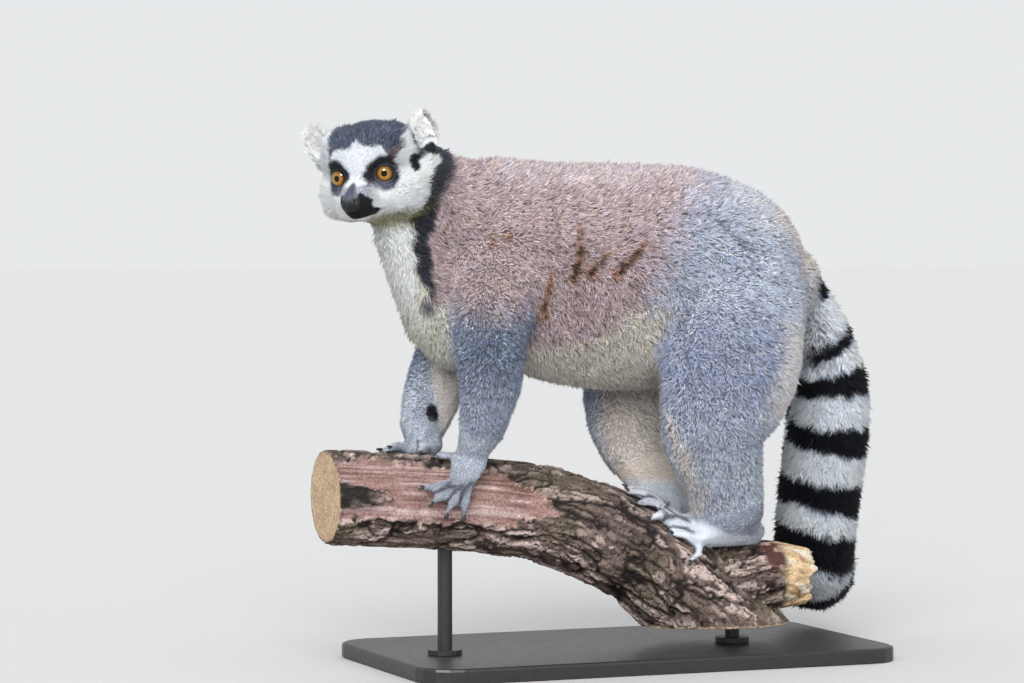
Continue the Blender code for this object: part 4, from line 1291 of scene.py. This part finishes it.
def growCoat():
    fields = coatFields()
    corners, weights = scatter(fields)
    root = spread(skinPoints, corners, weights)
    normal = unit(spread(skinNormals, corners, weights))
    shares = spread(skinShares, corners, weights)
    length, width, _, lift = spread(fields, corners, weights).T
    lie = lieOfCoat(root, normal, shares)
    count = len(root)
    print("tufts:", count)
    across = np.cross(normal, lie)
    turnSpread = hair["turnSpread"] * (0.35 + 0.65 * smoothStep(30, 50, lift))
    turn = chance.normal(0, 1, count) * turnSpread + waver(bodyPlace(root), 16, 21, 1.2)
    lie, across = rising(lie, across, turn), rising(across, -lie, turn)
    lift = np.radians(np.clip(lift + chance.normal(0, hair["liftSpread"], count), 4, 80))
    length = length * (0.78 + 0.36 * chance.random(count)) * mm
    guard = chance.random(count) < hair["guards"]
    length = np.where(guard, length * 1.25, length)
    width = width * (0.75 + 0.5 * chance.random(count)) * np.where(guard, 0.5, 1) * mm
    middle = root + rising(lie, normal, lift * 1.2) * (length * 0.45)[:, None]
    tip = middle + rising(lie, normal, lift * 0.72) * (length * 0.55)[:, None]
    gather(root, length, middle, tip)
    tone = tuftTones(root, tip, shares)
    half = across * (width[:, None] / 2)
    spots = np.stack([root - normal * hair["buried"] * mm, middle - half, middle + half, tip], axis=1)
    out = unit(tip - root)
    airy = np.array(headAxes @ Vector((0.25, 0, 0.9)))  # light comes through the ears' white hair
    normal = unit(normal + airy * 0.9 * shareOf(shares, "ear")[:, None])
    leans = (across * -0.45, across * 0.45, out * 0.4)
    soft = np.stack([normal] + [normal * 0.8 + lean for lean in leans], axis=1)
    region = regionOf(shares, bodyPlace(root), headPlace(root))
    finish = coatFinish()
    total = 0
    for name in sorted(set(region)):
        some = np.flatnonzero(region == name)
        total += joinTufts(name, some, spots, soft, tone, root, finish)
    print("coat triangles:", total)


def joinTufts(name, some, spots, soft, tone, root, finish):
    count = len(some)
    mesh = bpy.data.meshes.new("coat_" + name)
    mesh.vertices.add(count * 4)
    mesh.vertices.foreach_set("co", spots[some].astype(np.float32).ravel())
    faces = (tuftFaces[None] + 4 * np.arange(count)[:, None, None]).reshape(-1, 3)
    mesh.loops.add(faces.size)
    mesh.loops.foreach_set("vertex_index", faces.astype(np.int32).ravel())
    mesh.polygons.add(len(faces))
    mesh.polygons.foreach_set("loop_start", np.arange(0, faces.size, 3, dtype=np.int32))
    mesh.update(calc_edges=True)
    patches = tuftPatches(name, root[some])
    rows = (patches[:, None, None, :] + tuftMap[tuftFaces][None]).reshape(-1, 2)
    mesh.uv_layers.new(name="OFBake").data.foreach_set("uv", rows.astype(np.float32).ravel())
    white = whitenessOf(tone[some])[:, None]
    shade = tuftShade + (1 - tuftShade) * 0.65 * white  # white hair is light down to its root
    shades = np.clip(tone[some][:, None] * shade[..., None], 0, 0.97).reshape(-1, 3)
    setAttribute(mesh, "tone", shades)
    mesh.shade_smooth()
    mesh.normals_split_custom_set_from_vertices(unit(soft[some].reshape(-1, 3)).tolist())
    mesh.materials.append(finish)
    piece = objectOf("coat_" + name, mesh)
    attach(piece, "root")
    word = "coat_tail" if name.startswith("tail") else "coat_limb"
    word = "coat_back" if name.startswith(("trunk", "back")) else word
    print(" ", piece.name, len(faces))
    return len(faces)


growCoat()
print("the coat is grown")


# The branch and its bark.
bark = {
    "voxel": 1.35, "smoothing": 3, "girth": 38,
    # size and stretch of the long ridges and of the small plates on them; heights in mm
    "ridge": {"size": 13, "stretch": 4.5, "height": 3.6, "gap": 0.20},
    "plate": {"size": 4.2, "stretch": 3.4, "height": 1.7, "gap": 0.13},
    "wood": 3.4,
}
barkTones = {
    "dark": (0.042, 0.030, 0.025), "middle": (0.19, 0.14, 0.12), "flakeAndHighlight": (0.56, 0.44, 0.41),
    "fissureShade": (0.012, 0.009, 0.008), "moss": (0.085, 0.082, 0.042), "rim": (0.55, 0.39, 0.33),
    "wood": (0.285, 0.175, 0.16), "woodPale": (0.47, 0.35, 0.34), "woodDark": (0.14, 0.07, 0.06),
    "broken": (0.62, 0.45, 0.26), "brokenHollowShade": (0.22, 0.12, 0.06), "knob": (0.075, 0.032, 0.025),
    "sawn": (0.50, 0.37, 0.24), "sawnRing": (0.34, 0.22, 0.13), "splinter": (0.66, 0.58, 0.46),
}
bareStrip = {  # the barkless strip: turns from the branch's top where it starts and ends, along x
    "top": {-260: 30, -200: 33, -130: 38, -95: 52, -70: 78},
    "low": {-260: 112, -200: 114, -120: 110, -95: 104, -70: 88},
    "end": -66,
}
flap = {"x": -262, "turn": 84, "length": 52, "width": 16}  # bark left on the strip, by the sawn end


def platesAt(points, size, seed):  # cells with edges: 0 at an edge, rising inwards, and a number for each
    cell = points / size + 17.3
    base = np.floor(cell)
    nearest = np.full(len(points), 9.0)
    second = np.full(len(points), 9.0)
    number = np.zeros(len(points))
    for step in product((-1, 0, 1), repeat=3):
        corner = base + step
        spot = corner + np.stack([cellNumbers(corner, seed + k) for k in range(3)], axis=1)
        far = np.linalg.norm(cell - spot, axis=1)
        closer = far < nearest
        second = np.where(closer, nearest, np.minimum(second, far))
        number = np.where(closer, cellNumbers(corner, seed + 9), number)
        nearest = np.where(closer, far, nearest)
    return second - nearest, number


def barkFinish():
    finish = Finish("bark", Roughness=0.9, Specular_IOR_Level=0.25)
    tone = finish.attribute("tone")
    crumbs = finish.noise(520, 6)
    grains = finish.noise(90, 5)
    finish.feed(Base_Color=finish.shade(tone, crumbs * 2.0 + grains * 0.7 - 0.28))
    finish.feed(Roughness=0.72 + grains * 0.22)
    finish.bump(crumbs + grains * 0.6, 0.8, 0.0018)
    return finish.material


def barkPlaces(p):  # place along the branch or its side shoot, and the direction out from it
    along, heading, out = branch.place(p)
    shootAlong, shootHeading, shootOut = stub.place(p)
    radius, shootRadius = np.linalg.norm(out, axis=1), np.linalg.norm(shootOut, axis=1)
    onShoot = (radius - 44 - np.maximum(0, shootRadius - 30) > 0) & (p[:, 0] > 60)
    s = np.where(onShoot, shootAlong + 300, along)
    heading = np.where(onShoot[:, None], shootHeading, heading)
    out = np.where(onShoot[:, None], shootOut, out)
    near = unit(np.cross(heading, (0, 0, 1.0)))
    upward = np.cross(near, heading)
    turn = np.arctan2((out * near).sum(1), (out * upward).sum(1))
    return s, turn, radius, onShoot


def barkRelief(p, s, turn):
    warp = np.stack([waver(p, 30, k, 13) for k in (41, 42, 43)], axis=1)
    fray = np.stack([waver(p, 5, k, 2.6) for k in (44, 45, 46)], axis=1)
    ring = np.stack([np.cos(turn), np.sin(turn)], axis=1) * bark["girth"]
    relief, cracks, numbers = np.zeros(len(p)), np.zeros(len(p)), []
    for k, word in enumerate(("ridge", "plate")):
        make = bark[word]
        place = np.concatenate([(s / make["stretch"])[:, None], ring], axis=1) + warp + fray
        edge, number = platesAt(place, make["size"], 100 + 20 * k)
        crest = smoothStep(0.01, make["gap"], edge)
        relief += make["height"] * (crest * (0.55 + 0.45 * number) - 0.6)
        broken = smoothStep(0.2, 0.5, noise(p, (26, 9)[k], 97 + k))
        cracks = np.maximum(cracks, (1 - crest) * (1.0, 0.85)[k] * broken)
        numbers.append(number)
    return relief, cracks, numbers


def roundBranch(s, turn, stretch, girth):  # places for noise that runs along the branch
    return np.stack([s / stretch, girth * np.sin(turn), girth * np.cos(turn)], axis=1)


def barkColour(p, s, turn, relief, cracks, numbers):
    ridgeNumber, plateNumber = numbers
    flakes = noise(roundBranch(s, turn, 3.5, 45), 3.2, 94)
    shadeShare = np.clip(plateNumber * 0.5 + smoothStep(0.25, 0.75, flakes) * 0.6, 0, 1)
    colour = mixed(barkTones["dark"], barkTones["middle"], shadeShare)
    # the raised crests lighter: pale flakes and painted highlight
    crest = smoothStep(0.42, 0.66, plateNumber * 0.3 + ridgeNumber * 0.25 + flakes * 0.55)
    crest = smoothStep(0.0, 1.4, relief) * crest
    colour = mixed(colour, barkTones["flakeAndHighlight"], crest * (0.55 + 0.45 * noise(p, 3, 92)))
    colour = mixed(colour, barkTones["moss"], 0.35 * smoothStep(0.55, 0.8, noise(p, 36, 91)))
    # painted shade in the fissures
    return mixed(colour, barkTones["fissureShade"], smoothStep(0.35, 0.9, cracks))


def woodColour(streaks):  # the bare wood, pale and dark along its grain
    wood = mixed(barkTones["wood"], barkTones["woodPale"], smoothStep(0.5, 0.8, streaks))
    return mixed(wood, barkTones["woodDark"], smoothStep(0.42, 0.15, streaks))


def splinterColour(grain, jag):  # the broken end of the side shoot
    # painted shade in the hollows, where the splinters are set back
    colour = mixed(barkTones["brokenHollowShade"], barkTones["broken"], smoothStep(0.3, 0.6, jag))
    return mixed(colour, barkTones["splinter"], smoothStep(0.5, 0.7, noise(grain, 6, 83)))


def stripShares(x, degrees, ragged):  # the barkless strip, and the bark left on it
    bare = smoothStep(-2, 2, degrees - curveAt(x, bareStrip["top"]) + ragged)
    bare *= smoothStep(2, -2, degrees - curveAt(x, bareStrip["low"]) + ragged)
    bare *= smoothStep(3, -3, x - bareStrip["end"] + ragged * 0.8)
    left = np.hypot((x - flap["x"]) / flap["length"], (degrees - flap["turn"]) / flap["width"])
    left = smoothStep(1.08, 0.96, left + ragged * 0.01)
    return bare * (1 - left), left


def makePerch():
    perch = remeshed(objectOf("branch", closedCopy("perch")), bark["voxel"], bark["smoothing"])
    mesh = perch.data
    points = verticesOf(mesh)
    normals = unit(relaxed(normalsOf(mesh), edgesOf(mesh), 6))
    p = bodyPlace(points)
    x, z = p[:, 0], p[:, 2]
    s, turn, radius, onShoot = barkPlaces(p)
    relief, cracks, numbers = barkRelief(p, s, turn)
    ragged = waver(p, 11, 61, 16) + waver(p, 4, 62, 9)
    bare, left = stripShares(x, np.degrees(turn), ragged)
    streaks = noise(roundBranch(s, turn, 14, 45.6), 2.2, 71)
    sawnFoot = smoothStep(33.6, 32.6, z)
    sawn = np.maximum(smoothStep(-249.6, -251.0, x), sawnFoot)
    broken = smoothStep(136, 146, x + ragged * 0.5) * onShoot
    grain = np.stack([p[:, 1], z + x * 0.3, x * 0.12], axis=1)
    jag = 0.6 * noise(grain, 9, 81) + 0.4 * noise(grain, 2.8, 82)
    knob = smoothStep(116, 124, x) * smoothStep(76, 84, z + ragged * 0.2) * onShoot
    move = relief * (1 - bare) + (-bark["wood"] + (streaks - 0.5) * 0.9) * bare + 2.2 * left
    move *= (1 - sawn) * (1 - 0.6 * np.maximum(broken, knob))
    points = points + normals * (move * mm)[:, None]
    points[:, 0] += broken * smoothStep(150, 168, x) * (smoothStep(0.3, 0.72, jag) * 15 - 11) * mm
    moveTo(mesh, points)
    colour = barkColour(p, s, turn, relief, cracks, numbers)
    colour = mixed(colour, woodColour(streaks), bare)
    rim = smoothStep(0.25, 0.5, bare) * smoothStep(0.95, 0.6, bare) * smoothStep(0.4, 0.6, noise(p, 6, 93))
    colour = mixed(colour, barkTones["rim"], 0.8 * rim)
    colour = mixed(colour, barkTones["knob"], knob * (1 - broken))
    chipped = smoothStep(0.62, 0.72, noise(p, 6, 98)) * knob * (1 - broken)
    colour = mixed(colour, barkTones["rim"], 0.7 * chipped)
    colour = mixed(colour, splinterColour(grain, jag), broken)
    rings = np.sin(radius * 2.4 + noise(p, 12, 95) * 5) * 0.5 + 0.5
    endWood = mixed(barkTones["sawn"], barkTones["sawnRing"], rings * 0.6)
    colour = mixed(colour, endWood, sawn * smoothStep(1.5, 4, 38.5 - radius + 40 * sawnFoot))
    setAttribute(mesh, "tone", colour)
    mesh.shade_smooth()
    mesh.materials.append(barkFinish())
    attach(perch, "root")
    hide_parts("perch")
    print("the branch has", len(trianglesOf(mesh)), "triangles")


makePerch()


# The nails.
nail = {
    "length": 3.0, "breadth": 2.1, "thick": 1.0, "ahead": 2.2, "raise": 1.6, "segments": 16,
    "tones": ((0.018, 0.017, 0.018, 1), (0.05, 0.046, 0.046, 1)),
}


def nailFinish():
    finish = Finish("dark_nail", Roughness=0.4)
    ridges = finish.noise(900, 3)
    finish.feed(Base_Color=finish.blend(*nail["tones"], ridges))
    finish.bump(ridges, 0.2, 0.0003)
    return finish.material


def makeNails():
    horn = nailFinish()
    for word, rows in digits.items():
        bm = bmesh.new()
        for _, joint, end in rows:
            tip, out = onBranch(*end, digitLift)
            ahead = (tip - onBranch(*joint, digitLift)[0]).normalized()
            side = out.cross(ahead).normalized()
            turn = Matrix((ahead, side, ahead.cross(side))).transposed().to_4x4()
            size = Matrix.Diagonal((nail["length"], nail["breadth"], nail["thick"], 1))
            spot = tip + ahead * nail["ahead"] + out * nail["raise"]
            place = Matrix.Translation(origin) @ Matrix.Scale(mm, 4) @ Matrix.Translation(spot)
            matrix = place @ turn @ size
            bmesh.ops.create_uvsphere(bm, u_segments=nail["segments"], v_segments=12, radius=1, matrix=matrix)
        mesh = meshOf(bm, "nails_" + word)
        mesh.shade_smooth()
        mesh.materials.append(horn)
        piece = objectOf("nails_" + word, mesh)
        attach(piece, "root")


makeNails()
print("the nails are made")


# The stand's finish.
standTones = ((0.014, 0.014, 0.015, 1), (0.024, 0.024, 0.026, 1))


def standFinish():
    finish = Finish("satin_black", Roughness=0.42, Metallic=0.0)
    brushed = finish.noise(140, 4)
    finish.feed(Base_Color=finish.blend(*standTones, brushed))
    finish.feed(Roughness=brushed * 0.16 + 0.34)
    finish.bump(finish.noise(1800, 3), 0.12, 0.0004)
    return finish.material


satinBlack = standFinish()
for name, node in nodes.items():
    if name.startswith("stand"):
        node.data.materials.clear()
        node.data.materials.append(satinBlack)
